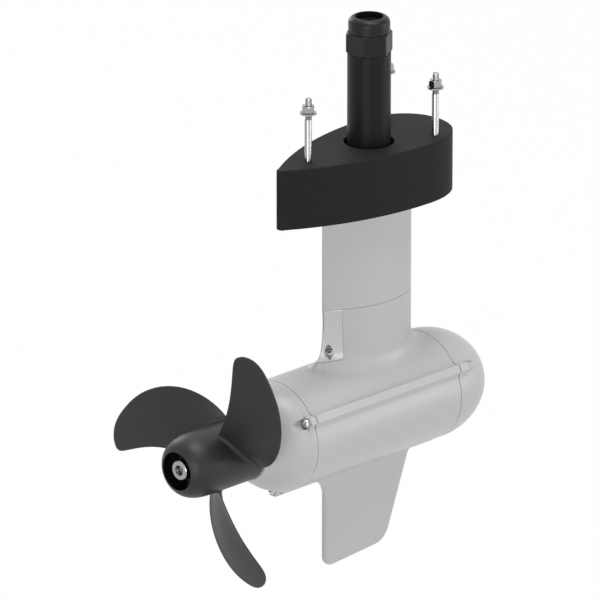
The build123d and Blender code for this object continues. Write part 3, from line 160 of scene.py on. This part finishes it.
class Nodes:
    """A node tree under construction, the world's unless a subclass names another output."""

    OUTPUT = "ShaderNodeOutputWorld"
    BACKGROUND_RAYS = ("Is Camera Ray", "Is Glossy Ray", "Is Transmission Ray")

    def __init__(self, tree: bpy.types.NodeTree) -> None:
        """Empties the tree.

        Args:
            tree: The node tree of a material or of the world.
        """
        self.tree = tree
        tree.nodes.clear()

    def add(
        self, kind: str, settings: dict[str, object], inputs: dict[object, object]
    ) -> bpy.types.Node:
        """Adds a node, gives it its settings, then its socket values or links.

        Args:
            kind: The node's type name.
            settings: Attributes of the node.
            inputs: Socket name or number to a number, a tuple or a Value.

        Returns:
            The node.
        """
        made = self.tree.nodes.new(kind)
        for key, value in settings.items():
            setattr(made, key, value)
        for key, value in inputs.items():
            self.feed(made.inputs[key], value)
        return made

    def node(
        self,
        kind: str,
        settings: dict[str, object] | None = None,
        inputs: dict[object, object] | None = None,
        output: int | str = 0,
    ) -> Value:
        """Adds a node as a step of an expression.

        Args:
            kind: The node's type name.
            settings: Attributes of the node.
            inputs: Socket name or number to a number, a tuple or a Value.
            output: Name or number of the output that carries on.

        Returns:
            That output.
        """
        return Value(self, self.add(kind, settings or {}, inputs or {}).outputs[output])

    def feed(self, socket: bpy.types.NodeSocket, value: object) -> None:
        """Links a Value to a socket, or sets a plain number or tuple on it.

        Args:
            socket: The input socket.
            value: A Value, a number or a tuple.
        """
        if isinstance(value, Value):
            self.tree.links.new(value.socket, socket)
        elif socket.type == "RGBA" and len(value) == 3:
            socket.default_value = (*value, 1.0)
        else:
            socket.default_value = value

    def show(self, shader: Value) -> None:
        """Adds the tree's output, with the shader that it shows."""
        self.add(self.OUTPUT, {}, {"Surface": shader})

    def mix_shaders(self, factor: Value, first: Value, second: Value) -> Value:
        """The first shader where the factor is 0, and the second where it is 1."""
        return self.node("ShaderNodeMixShader", {}, {"Fac": factor, 1: first, 2: second})

    def background_rays(self) -> Value:
        """Tells the rays that see the plain background from the rest.

        Returns:
            1 for the rays of the camera, of mirrors and of glass, and 0 for all others.
        """
        camera, glossy, through = (
            self.node("ShaderNodeLightPath", output=name) for name in self.BACKGROUND_RAYS
        )
        return (camera + glossy + through).limited()


class Surface(Nodes):
    """A material under construction."""

    OUTPUT = "ShaderNodeOutputMaterial"

    # The Mix node's colour sockets go by number: its other kinds of socket share their names.
    MIX_LOW = 6
    MIX_HIGH = 7
    MIX_RESULT = 2

    def __init__(self, name: str) -> None:
        """Starts a material.

        Args:
            name: The material's name.
        """
        self.material = bpy.data.materials.new(name)
        self.material.use_nodes = True
        super().__init__(self.material.node_tree)

    def skin(self, **sockets: object) -> Value:
        """Adds the Principled shader, which gives the surface its look.

        Args:
            sockets: Socket names with underscores for spaces, and their values.

        Returns:
            The shader.
        """
        inputs = {name.replace("_", " "): value for name, value in sockets.items()}
        return self.node("ShaderNodeBsdfPrincipled", {}, inputs)

    def place(self, stretch: Point = Grain.EVEN.value) -> Value:
        """Where a point lies on the object in metres, stretched along its axes.

        Args:
            stretch: Factor along X, Y and Z.

        Returns:
            The stretched coordinates.
        """
        coordinates = self.node("ShaderNodeTexCoord", output="Object")
        return self.node("ShaderNodeMapping", {}, {"Vector": coordinates, "Scale": stretch})

    def noise(self, size: float, detail: float, stretch: Point = Grain.EVEN.value) -> Value:
        """Cloudy noise between 0 and 1.

        Args:
            size: Width of one cloud in metres.
            detail: Octaves of finer noise.
            stretch: Factor along X, Y and Z.

        Returns:
            The noise.
        """
        inputs = {"Vector": self.place(stretch), "Scale": 1.0 / size, "Detail": detail}
        return self.node("ShaderNodeTexNoise", {}, inputs, "Fac")

    def crystals(self, size: float) -> Value:
        """Flat patches of random value, as the grains of bare cast metal show.

        Args:
            size: Width of one patch in metres.

        Returns:
            A value between 0 and 1 for each patch.
        """
        inputs = {"Vector": self.place(), "Scale": 1.0 / size, "Randomness": 1.0}
        colour = self.node("ShaderNodeTexVoronoi", {"feature": "F1"}, inputs, "Color")
        return self.node("ShaderNodeSeparateColor", {}, {"Color": colour}, "Red")

    def bands(self, pitch: float, axis: Axis) -> Value:
        """Even bands square to an axis, such as turns of wire or stacked sheets.

        Args:
            pitch: Distance from band to band in metres.
            axis: The axis that the bands follow one another along.

        Returns:
            A wave between 0 and 1.
        """
        settings = {"wave_type": "BANDS", "bands_direction": axis.name}
        inputs = {"Vector": self.place(), "Scale": math.tau / (WAVE_RATE * pitch)}
        return self.node("ShaderNodeTexWave", settings, inputs, "Fac")

    def mix(self, factor: Value, low: Colour, high: Colour) -> Value:
        """A colour between two.

        Args:
            factor: 0 for low, 1 for high.
            low: Colour at 0.
            high: Colour at 1.

        Returns:
            The mixed colour.
        """
        inputs = {"Factor": factor, self.MIX_LOW: low, self.MIX_HIGH: high}
        return self.node("ShaderNodeMix", {"data_type": "RGBA"}, inputs, self.MIX_RESULT)

    def bump(self, height: Value, depth: float) -> Value:
        """A normal bent by a height.

        Args:
            height: Height between 0 and 1.
            depth: Distance in metres that a height of 1 stands for.

        Returns:
            The bent normal.
        """
        inputs = {"Height": height, "Distance": depth, "Strength": 1.0}
        return self.node("ShaderNodeBump", {}, inputs, "Normal")


def grey(level: float) -> Colour:
    """A neutral colour."""
    return (level, level, level)


def shaded(colour: Colour, factor: float) -> Colour:
    """The colour made lighter or darker by a factor."""
    return tuple(min(1.0, part * factor) for part in colour)


@dataclass(frozen=True)
class Finish:
    """A surface finish: colour, gloss, and the fine texture that the real one has.

    The colour varies by the mottling, as a share of itself, over clouds of the mottle size.
    The grain is the relief. The roughness varies with both, by the gloss spread.
    """

    name: str
    slot: str
    colour: Colour
    roughness: float = 0.4
    metallic: float = 0.0
    specular: float = 0.5
    mottling: float = 0.04
    mottle_size: float = 0.03
    grain: Grain = Grain.EVEN
    grain_size: float = 0.001
    grain_depth: float = 0.00001
    gloss_spread: float = 0.06
    coat: float = 0.0

    def tint(self, surface: Surface) -> Value:
        """How the colour varies, from 0, its darkest, to 1."""
        return surface.noise(self.mottle_size, TINT_DETAIL)

    def relief(self, surface: Surface) -> Value:
        """How the surface rises and falls, from 0 to 1."""
        return surface.noise(self.grain_size, RELIEF_DETAIL, self.grain.value)

    def build(self) -> bpy.types.Material:
        """Makes the material.

        Returns:
            The finished material.
        """
        surface = Surface(self.name)
        tint = self.tint(surface)
        relief = self.relief(surface)
        dark = shaded(self.colour, 1 - self.mottling)
        pale = shaded(self.colour, 1 + self.mottling)
        spread = self.gloss_spread * (relief + tint - 1.0)
        shader = surface.skin(
            Base_Color=surface.mix(tint, dark, pale),
            Roughness=(self.roughness + spread).limited(),
            Metallic=self.metallic,
            Specular_IOR_Level=self.specular,
            Coat_Weight=self.coat,
            Normal=surface.bump(relief, self.grain_depth),
        )
        surface.show(shader)
        return surface.material


@dataclass(frozen=True)
class CastMetal(Finish):
    """Bare cast metal, whose crystals differ a little in tint."""

    crystal_size: float = 0.0012
    crystal_share: float = 0.6

    def tint(self, surface: Surface) -> Value:
        """Crystals over broad clouds.

        Args:
            surface: The surface under construction.

        Returns:
            The tint, from 0 to 1.
        """
        crystals = surface.crystals(self.crystal_size)
        clouds = surface.noise(self.mottle_size, TINT_DETAIL)
        return self.crystal_share * crystals + (1 - self.crystal_share) * clouds


@dataclass(frozen=True)
class Banded(Finish):
    """A finish with even bands along an axis: turns of wire or stacked sheets."""

    pitch: float = 0.001
    axis: Axis = Axis.X
    band_share: float = 0.85

    def relief(self, surface: Surface) -> Value:
        """The bands, a little uneven.

        Args:
            surface: The surface under construction.

        Returns:
            The height, from 0 to 1.
        """
        bands = surface.bands(self.pitch, self.axis)
        uneven = surface.noise(self.grain_size, RELIEF_DETAIL)
        return self.band_share * bands + (1 - self.band_share) * uneven


class Finishes:
    """Every finish of the drive, each built once when it is first asked for."""

    CASTING = Finish(
        "satin_grey_casting", "grey_casting", grey(0.50), roughness=0.36,
        mottling=0.012, mottle_size=0.05, grain_size=0.0012, grain_depth=0.000006,
        gloss_spread=0.04,
    )
    BLOCK = Finish(
        "black_moulded_block", "black_block", grey(0.015), roughness=0.6, specular=0.1,
        mottling=0.08, mottle_size=0.02, grain_size=0.0006, grain_depth=0.000012,
    )
    TUBE = Finish(
        "black_anodised_tube", "black_tube", grey(0.007), roughness=0.42, specular=0.16,
        mottling=0.06, mottle_size=0.02, grain=Grain.ALONG_Z, grain_size=0.0005,
    )
    NYLON = Finish(
        "black_nylon", "black_nylon", grey(0.007), roughness=0.38, specular=0.24,
        mottling=0.08, mottle_size=0.01, grain_size=0.0005,
    )
    RUBBER = Finish(
        "black_rubber", "black_rubber", grey(0.006), roughness=0.7, specular=0.15,
        mottling=0.1, mottle_size=0.005, grain_size=0.0004,
    )
    # A grey sealant, dark enough that its beads also paint the shade of the seam lines.
    SEALANT_AND_SEAM_SHADE = Finish(
        "grey_sealant_and_seam_shade", "black_rubber", grey(0.10), roughness=0.6, specular=0.2,
        mottling=0.1, mottle_size=0.005, grain_size=0.0004,
    )
    STAINLESS = Finish(
        "stainless_steel", "stainless", grey(0.36), roughness=0.2, metallic=1.0,
        mottling=0.03, mottle_size=0.004, grain=Grain.ALONG_Z, grain_size=0.0004,
        grain_depth=0.000001,
    )
    TURNED = Finish(
        "turned_steel", "steel", grey(0.58), roughness=0.22, metallic=1.0,
        mottling=0.03, mottle_size=0.004, grain=Grain.ROUND_X, grain_size=0.0003,
        grain_depth=0.000004,
    )
    ANODE = CastMetal(
        "bare_anode_metal", "anode_metal", grey(0.48), roughness=0.32, metallic=1.0,
        mottling=0.05, mottle_size=0.012, grain=Grain.ALONG_Z, grain_size=0.0008,
        grain_depth=0.000006,
    )
    SHAFT_ANODE = CastMetal(
        "worn_anode_metal", "anode_metal", grey(0.36), roughness=0.30, metallic=1.0,
        mottling=0.08, mottle_size=0.004, grain_size=0.0006, grain_depth=0.000006,
    )
    PROPELLER = Finish(
        "propeller_grey", "propeller_grey", grey(0.014), roughness=0.46, specular=0.38,
        mottling=0.06, mottle_size=0.03, grain_size=0.0007, grain_depth=0.000008,
    )
    LAMINATION = Banded(
        "stator_laminations", "laminations", (0.25, 0.25, 0.27), roughness=0.35, metallic=1.0,
        mottling=0.06, mottle_size=0.01, grain_depth=0.00005, pitch=0.0005,
    )
    COPPER = Banded(
        "copper_coils", "copper", (0.66, 0.27, 0.12), roughness=0.3, metallic=1.0,
        mottling=0.08, mottle_size=0.004, grain_depth=0.0002, pitch=0.0009, axis=Axis.Y,
    )
    MAGNET = Finish(
        "plated_magnets", "magnet", (0.62, 0.61, 0.58), roughness=0.2, metallic=1.0,
        mottling=0.03,
    )
    BOARD = Finish(
        "board_green", "board_green", (0.02, 0.11, 0.045), roughness=0.28, mottling=0.12,
        mottle_size=0.004, coat=0.4,
    )
    CASE = Finish(
        "black_cases", "black_case", (0.018, 0.018, 0.02), roughness=0.35, mottling=0.08,
        mottle_size=0.003,
    )

    def __init__(self) -> None:
        """Starts with no material built."""
        self.built: dict[str, bpy.types.Material] = {}

    def material(self, finish: Finish) -> bpy.types.Material:
        """The material of a finish.

        Args:
            finish: The finish.

        Returns:
            Its material, built on the first call.
        """
        if finish.name not in self.built:
            self.built[finish.name] = finish.build()
        return self.built[finish.name]


def walked(edges: Iterable[bmesh.types.BMEdge]) -> list[list[Vector]]:
    """Walks edges that form closed loops.

    Args:
        edges: The edges of one or more separate loops.

    Returns:
        The corners of each loop in order.
    """
    links: dict[bmesh.types.BMVert, list[bmesh.types.BMVert]] = {}
    for edge in edges:
        for corner in edge.verts:
            links.setdefault(corner, []).append(edge.other_vert(corner))
    loops = []
    while links:
        corner = next(iter(links))
        loop = []
        while corner is not None:
            loop.append(corner.co.copy())
            neighbours = links.pop(corner)
            corner = next((other for other in neighbours if other in links), None)
        loops.append(loop)
    return loops


def outline_length(loop: list[Vector]) -> float:
    """Length all the way round a closed outline."""
    return sum((after - before).length for before, after in zip(loop, loop[1:] + loop[:1]))


def flat_outlines(node: str, axis: Axis, level: float) -> list[list[Vector]]:
    """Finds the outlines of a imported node's flat faces at one level.

    Args:
        node: The node's name.
        axis: The axis that the faces stand square to.
        level: Where the faces lie on that axis.

    Returns:
        The closed outlines as corners in order, the longest outline first.
    """
    form = bmesh.new()
    form.from_mesh(frame["nodes"][node].data)
    bmesh.ops.remove_doubles(form, verts=form.verts, dist=SAME_PLACE)
    flats = {
        face for face in form.faces
        if all(abs(corner.co[axis.value] - level) < SAME_LEVEL for corner in face.verts)
    }
    border = [edge for edge in form.edges if len(flats.intersection(edge.link_faces)) == 1]
    loops = walked(border)
    form.free()
    return sorted(loops, key=outline_length, reverse=True)


@dataclass
class SubAssembly:
    """What the sub-assemblies share: dressing nodes and adding pieces that ride on their body."""

    SHARP_ANGLE = math.radians(30.0)
    BEAD_ROUNDNESS = 2

    finishes: Finishes
    body: Body = Body.HOUSING

    def dress(self, finish: Finish, *nodes: str) -> None:
        """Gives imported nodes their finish.

        Args:
            finish: The finish.
            nodes: Names of the nodes.
        """
        material = self.finishes.material(finish)
        for name in nodes:
            node = frame["nodes"][name]
            if not node.material_slots:
                node.data.materials.append(material)
            for slot in node.material_slots:
                slot.material = material
            LOG.info("dressed %s in %s", name, finish.name)

    def add(self, name: str, data: bpy.types.ID, finish: Finish) -> bpy.types.Object:
        """Adds a piece to the scene.

        Args:
            name: The piece's name.
            data: Its mesh or curve.
            finish: Its finish.

        Returns:
            The piece.
        """
        data.materials.append(self.finishes.material(finish))
        piece = bpy.data.objects.new(name, data)
        bpy.context.scene.collection.objects.link(piece)
        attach(piece, self.body.value)
        LOG.info("added %s in %s", name, finish.name)
        return piece

    def add_form(self, name: str, form: bmesh.types.BMesh, finish: Finish) -> bpy.types.Object:
        """Adds a piece from a mesh form, smooth but for its sharp edges.

        Args:
            name: The piece's name.
            form: The form, which is used up.
            finish: Its finish.

        Returns:
            The piece.
        """
        bmesh.ops.recalc_face_normals(form, faces=form.faces)
        mesh = bpy.data.meshes.new(name)
        form.to_mesh(mesh)
        form.free()
        mesh.shade_smooth()
        mesh.set_sharp_from_angle(angle=self.SHARP_ANGLE)
        return self.add(name, mesh, finish)

    def add_bead(
        self, name: str, loop: list[Vector], radius: float, finish: Finish
    ) -> bpy.types.Object:
        """Adds a round bead along a closed outline.

        Args:
            name: The piece's name.
            loop: The outline.
            radius: The bead's radius.
            finish: Its finish.

        Returns:
            The piece.
        """
        curve = bpy.data.curves.new(name, "CURVE")
        curve.dimensions = "3D"
        curve.bevel_depth = radius
        curve.bevel_resolution = self.BEAD_ROUNDNESS
        spline = curve.splines.new("POLY")
        spline.points.add(len(loop) - 1)
        for point, place in zip(spline.points, loop):
            point.co = (*place, 1.0)
        spline.use_cyclic_u = True
        return self.add(name, curve, finish)


@dataclass(frozen=True)
class ThreadedRod:
    """A round rod along Z with a rolled thread on its upper end.

    The steepness of the flanks is how fast the groove's depth changes across a pitch: at 2 the
    grooves meet in sharp crests, and above it the crests have flats.
    """

    radius: float
    thread_length: float
    pitch: float = 0.00125
    depth: float = 0.00068
    flank_steepness: float = 2.4
    point_height: float = 0.0010
    sides: int = 32
    rings_per_turn: int = 8

    def radius_at(self, height: float, turn: float, top: float) -> float:
        """The rod's radius at a point of its thread.

        Args:
            height: Height of the point.
            turn: How far round the rod it lies, from 0 to 1.
            top: Height of the rod's top.

        Returns:
            The radius there.
        """
        run = height - (top - self.thread_length)
        phase = (run / self.pitch - turn) % 1.0
        groove = max(0.0, 1.0 - self.flank_steepness * abs(phase - 0.5))
        entry = min(1.0, max(0.0, run) / self.pitch)
        point = max(0.0, height - (top - self.point_height))
        return min(self.radius - entry * groove * self.depth, self.radius - point)

    def add_to(self, form: bmesh.types.BMesh, foot: Vector, top: float) -> None:
        """Adds one rod to a form.

        Args:
            form: The form.
            foot: The middle of the rod's lower end.
            top: Height of its upper end.
        """
        steps = round(self.thread_length / self.pitch * self.rings_per_turn)
        heights = [top - self.thread_length * (1 - step / steps) for step in range(steps + 1)]
        rings = [self._ring(form, foot, height, top) for height in (foot.z, *heights)]
        for lower, upper in zip(rings, rings[1:]):
            for side in range(self.sides):
                form.faces.new((lower[side - 1], lower[side], upper[side], upper[side - 1]))
        form.faces.new(rings[0])
        form.faces.new(rings[-1])

    def _ring(
        self, form: bmesh.types.BMesh, foot: Vector, height: float, top: float
    ) -> list[bmesh.types.BMVert]:
        """Adds the corners of the rod's skin at one height.

        Args:
            form: The form.
            foot: The middle of the rod's lower end.
            height: Height of the ring.
            top: Height of the rod's upper end.

        Returns:
            The corners in order.
        """
        ring = []
        for side in range(self.sides):
            turn = side / self.sides
            radius = self.radius_at(height, turn, top)
            angle = 2 * math.pi * turn
            place = (foot.x + radius * math.cos(angle), foot.y + radius * math.sin(angle), height)
            ring.append(form.verts.new(place))
        return ring


@dataclass
class HullMount(SubAssembly):
    """The block on the hull with its tube, cable gland and studs.

    The crests of the threads stay inside the plain studs by the crest clearance.
    """

    thread_length: float = 0.024
    crest_clearance: float = 0.00002

    def build(self) -> None:
        """Dresses the pieces that bear on the hull and cuts the studs' threads."""
        self.dress(Finishes.BLOCK, "mount_block")
        self.dress(Finishes.TUBE, "hull_tube")
        self.dress(Finishes.NYLON, "gland_body", "gland_cap_nut")
        self.dress(Finishes.RUBBER, "gland_seal")
        self.dress(Finishes.STAINLESS, "hull_studs", "stud_washers", "stud_nuts")
        self.add_studs()

    def add_studs(self) -> None:
        """Builds the three studs with their threads, which stand for the plain ones."""
        low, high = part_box("hull_studs")
        form = bmesh.new()
        for mount in frame["record"]["mounts"]:
            if mount["name"].startswith("stud_"):
                radius = mount["dims"]["r_mm"] / MM_PER_METRE - self.crest_clearance
                x, y, _ = mount["pos_m"]
                rod = ThreadedRod(radius, self.thread_length)
                rod.add_to(form, Vector((x, y, low[2])), high[2])
        studs = self.add_form("threaded_studs", form, Finishes.STAINLESS)
        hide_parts("hull_studs")


@dataclass
class Column(SubAssembly):
    """The foil column with the bolts and seal that join it to the pod."""

    bead_radius: float = 0.00022

    def build(self) -> None:
        """Dresses the column and fills the seam at its foot with a sealant bead, which also paints
        the shade of the seam.
        """
        self.dress(Finishes.CASTING, "column")
        self.dress(Finishes.STAINLESS, "column_bolts")
        self.dress(Finishes.RUBBER, "column_seal")
        outline = flat_outlines("column", Axis.Z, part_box("column")[0][2])[0]
        # The bead is grey sealant and also paints the shade of the seam at the column's foot.
        self.add_bead("column_seam_and_shade", outline, self.bead_radius, Finishes.SEALANT_AND_SEAM_SHADE)


@dataclass
class Pod(SubAssembly):
    """The barrel with its caps, anode and screws.

    The ends of the ribs on the barrel and on a cap stand a rib gap apart. Each gasket fills
    it but for a little play at both faces, and its section is a share of the rib's. The
    gaskets and the seam beads are black rubber, which also paints the shade of the seams.
    """

    bead_radius: float = 0.00034
    rib_gap: float = 0.001
    gasket_play: float = 0.00002
    gasket_share: float = 0.97

    def build(self) -> None:
        """Dresses the pod's outside and fills the seams of both caps with black rubber, which also
        paints their shade.
        """
        self.dress(Finishes.CASTING, "pod_barrel", "nose_cap", "tail_cap")
        self.dress(Finishes.ANODE, "column_anode")
        self.dress(Finishes.TURNED, "nose_screws", "tail_screws")
        self.dress(Finishes.STAINLESS, "anode_screw")
        self.dress(Finishes.RUBBER, "nose_ring", "tail_ring")
        low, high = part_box("pod_barrel")
        self.add_seam_and_shade("nose_cap", high[0], 1)
        self.add_seam_and_shade("tail_cap", low[0], -1)

    def add_seam_and_shade(self, cap: str, seam_x: float, forward: int) -> None:
        """Fills the seam between the barrel and one cap, round the barrel and across the ribs, with
        black rubber that also paints the seam's shade.

        Args:
            cap: The cap's node.
            seam_x: Where the seam lies.
            forward: 1 for the nose, -1 for the tail.
        """
        rim = flat_outlines("pod_barrel", Axis.X, seam_x)[0]
        # Black rubber bead round the barrel: a seal that also paints the seam's shade.
        self.add_bead(f"{cap}_seam", rim, self.bead_radius, Finishes.RUBBER)
        form = bmesh.new()
        for outline in flat_outlines("pod_barrel", Axis.X, seam_x - forward * self.rib_gap / 2):
            self.add_gasket_and_shade(form, outline, forward)
        # Black rubber gaskets fill the rib gaps and paint the shade in them.
        self.add_form(f"{cap}_rib_gaskets_and_seam_shade", form, Finishes.RUBBER)

    def add_gasket_and_shade(self, form: bmesh.types.BMesh, outline: list[Vector], forward: int) -> None:
        """Adds the thin black gasket between the ends of two ribs, which also paints the shade in
        the gap.

        Args:
            form: The form that takes it.
            outline: The rib's end on the barrel.
            forward: 1 where the cap lies ahead of the barrel, -1 where it lies behind.
        """
        middle = sum(outline, Vector()) / len(outline)
        section = [middle + (corner - middle) * self.gasket_share for corner in outline]
        start = Vector((forward * self.gasket_play, 0.0, 0.0))
        end = Vector((forward * (self.rib_gap - self.gasket_play), 0.0, 0.0))
        first = [form.verts.new(corner + start) for corner in section]
        last = [form.verts.new(corner + end) for corner in section]
        form.faces.new(first)
        form.faces.new(last)
        for index in range(len(section)):
            form.faces.new((first[index - 1], first[index], last[index], last[index - 1]))


@dataclass
class Motor(SubAssembly):
    """The motor and its electronics inside the barrel."""

    def build(self) -> None:
        """Dresses the pieces inside the pod."""
        self.dress(Finishes.LAMINATION, "stator_core")
        self.dress(Finishes.COPPER, "stator_windings")
        self.dress(Finishes.TURNED, "rotor_core", "front_bearing", "rear_bearing")
        self.dress(Finishes.TURNED, "bulkhead_circlip", "seal_circlip")
        self.dress(Finishes.MAGNET, "rotor_magnets")
        self.dress(Finishes.ANODE, "front_bulkhead")
        self.dress(Finishes.RUBBER, "shaft_seals")
        self.dress(Finishes.BOARD, "control_board")
        self.dress(Finishes.CASE, "power_switches", "capacitors")
        self.dress(Finishes.STAINLESS, "board_posts", "board_screws")


@dataclass
class Rotor(SubAssembly):
    """The shaft with the propeller and what holds it."""

    body: Body = Body.ROTOR

    def build(self) -> None:
        """Dresses what turns."""
        self.dress(Finishes.PROPELLER, "propeller")
        self.dress(Finishes.TURNED, "drive_shaft", "drive_pin", "thrust_washer")
        self.dress(Finishes.TURNED, "propeller_washer", "propeller_nut")
        self.dress(Finishes.SHAFT_ANODE, "shaft_anode")
        self.dress(Finishes.STAINLESS, "shaft_anode_screw")


@dataclass(frozen=True)
class Lamp:
    """A square softbox that faces the drive."""

    name: str
    place: Point
    power: float
    size: float = 1.2
    aim: Point = (0.0, 0.0, -0.2)

    def add(self) -> None:
        """Hangs the lamp."""
        data = bpy.data.lights.new(self.name, "AREA")
        data.size = self.size
        data.energy = self.power
        lamp = bpy.data.objects.new(self.name, data)
        bpy.context.scene.collection.objects.link(lamp)
        facing = (Vector(self.aim) - Vector(self.place)).to_track_quat("-Z", "Y")
        lamp.matrix_world = Matrix.Translation(self.place) @ facing.to_matrix().to_4x4()


@dataclass(frozen=True)
class Studio:
    """Camera, lamps, floor and sky.

    The camera stands off the model's origin by the azimuth, elevation and distance, and is
    then moved across and upward in its own plane to frame the drive.
    """

    azimuth: float = -44.7
    elevation: float = 20.45
    distance: float = 10.2
    across: float = -0.0754
    upward: float = -0.1743
    pixels_per_metre: float = 914.0
    image_width: int = 600
    sensor: float = 36.0
    view_depth: float = 100.0
    sky: float = 0.33
    floor_z: float = -0.62
    floor_size: float = 30.0
    floor_tones: tuple[Colour, Colour] = (grey(0.77), grey(0.79))
    floor_cloud: float = 0.4
    floor_roughness: float = 0.9
    floor_white: float = 0.985
    lamps: tuple[Lamp, ...] = (
        Lamp("top_softbox", (0.0, 0.0, 2.8), 36.0),
        Lamp("high_softbox", (0.0, -1.0, 2.6), 21.0),
        Lamp("aft_softbox", (-2.6, -1.5, 0.0), 27.0),
        Lamp("beam_softbox", (-0.2, -3.0, 0.0), 4.0),
        Lamp("bow_softbox", (2.1, -2.1, 0.0), 19.0),
        Lamp("far_softbox", (0.8, 2.8, 0.8), 16.0),
    )

    def axes(self) -> tuple[Vector, Vector, Vector]:
        """The camera's directions.

        Returns:
            Towards the camera, to its right, and its up.
        """
        turn, tilt = math.radians(self.azimuth), math.radians(self.elevation)
        level = math.cos(tilt)
        back = Vector((math.sin(turn) * level, -math.cos(turn) * level, math.sin(tilt)))
        right = Vector((math.cos(turn), math.sin(turn), 0.0))
        return back, right, back.cross(right)

    def add_camera(self) -> None:
        """Sets the camera at the photograph's viewing angle."""
        back, right, up = self.axes()
        data = bpy.data.cameras.new("camera")
        data.sensor_width = self.sensor
        data.lens = self.sensor * self.pixels_per_metre * self.distance / self.image_width
        data.clip_end = self.view_depth
        camera = bpy.data.objects.new("camera", data)
        bpy.context.scene.collection.objects.link(camera)
        place = back * self.distance + right * self.across + up * self.upward
        turn = Matrix((right, up, back)).transposed()
        camera.matrix_world = Matrix.Translation(place) @ turn.to_4x4()
        bpy.context.scene.camera = camera

    def add_sky(self) -> None:
        """Sets the sky: even light, and plain white to the camera, mirrors and glass."""
        world = bpy.data.worlds.new("studio")
        world.use_nodes = True
        nodes = Nodes(world.node_tree)
        light = nodes.node("ShaderNodeBackground", {}, {"Color": WHITE, "Strength": self.sky})
        white = nodes.node("ShaderNodeBackground", {}, {"Color": WHITE, "Strength": 1.0})
        nodes.show(nodes.mix_shaders(nodes.background_rays(), light, white))
        bpy.context.scene.world = world

    def add_floor(self) -> None:
        """Lays the pale floor, which turns white to the camera and mirrors but keeps its shadow."""
        half = self.floor_size / 2
        signs = ((-1, -1), (1, -1), (1, 1), (-1, 1))
        corners = [(x * half, y * half, self.floor_z) for x, y in signs]
        mesh = bpy.data.meshes.new("floor")
        mesh.from_pydata(corners, [], [(0, 1, 2, 3)])
        floor = bpy.data.objects.new("floor", mesh)
        bpy.context.scene.collection.objects.link(floor)
        surface = Surface("pale_floor")
        clouds = surface.noise(self.floor_cloud, RELIEF_DETAIL)
        tone = surface.mix(clouds, *self.floor_tones)
        lit = surface.skin(Base_Color=tone, Roughness=self.floor_roughness)
        white = surface.node("ShaderNodeEmission", {}, {"Color": WHITE, "Strength": 1.0})
        share = self.floor_white * surface.background_rays()
        surface.show(surface.mix_shaders(share, lit, white))
        mesh.materials.append(surface.material)

    def build(self) -> None:
        """Sets up the whole studio."""
        bpy.context.scene.view_settings.view_transform = "Standard"
        self.add_camera()
        self.add_sky()
        self.add_floor()
        for lamp in self.lamps:
            lamp.add()
        LOG.info("set up the studio with %d lamps", len(self.lamps))


def main() -> None:
    """Builds the sub-assemblies in order, then the studio."""
    logging.basicConfig(level=logging.INFO, format="%(message)s")
    finishes = Finishes()
    for assembly in (HullMount, Column, Pod, Motor, Rotor):
        assembly(finishes).build()
        LOG.info("built %s", assembly.__name__)
    Studio().build()


if __name__ == "__main__":
    main()
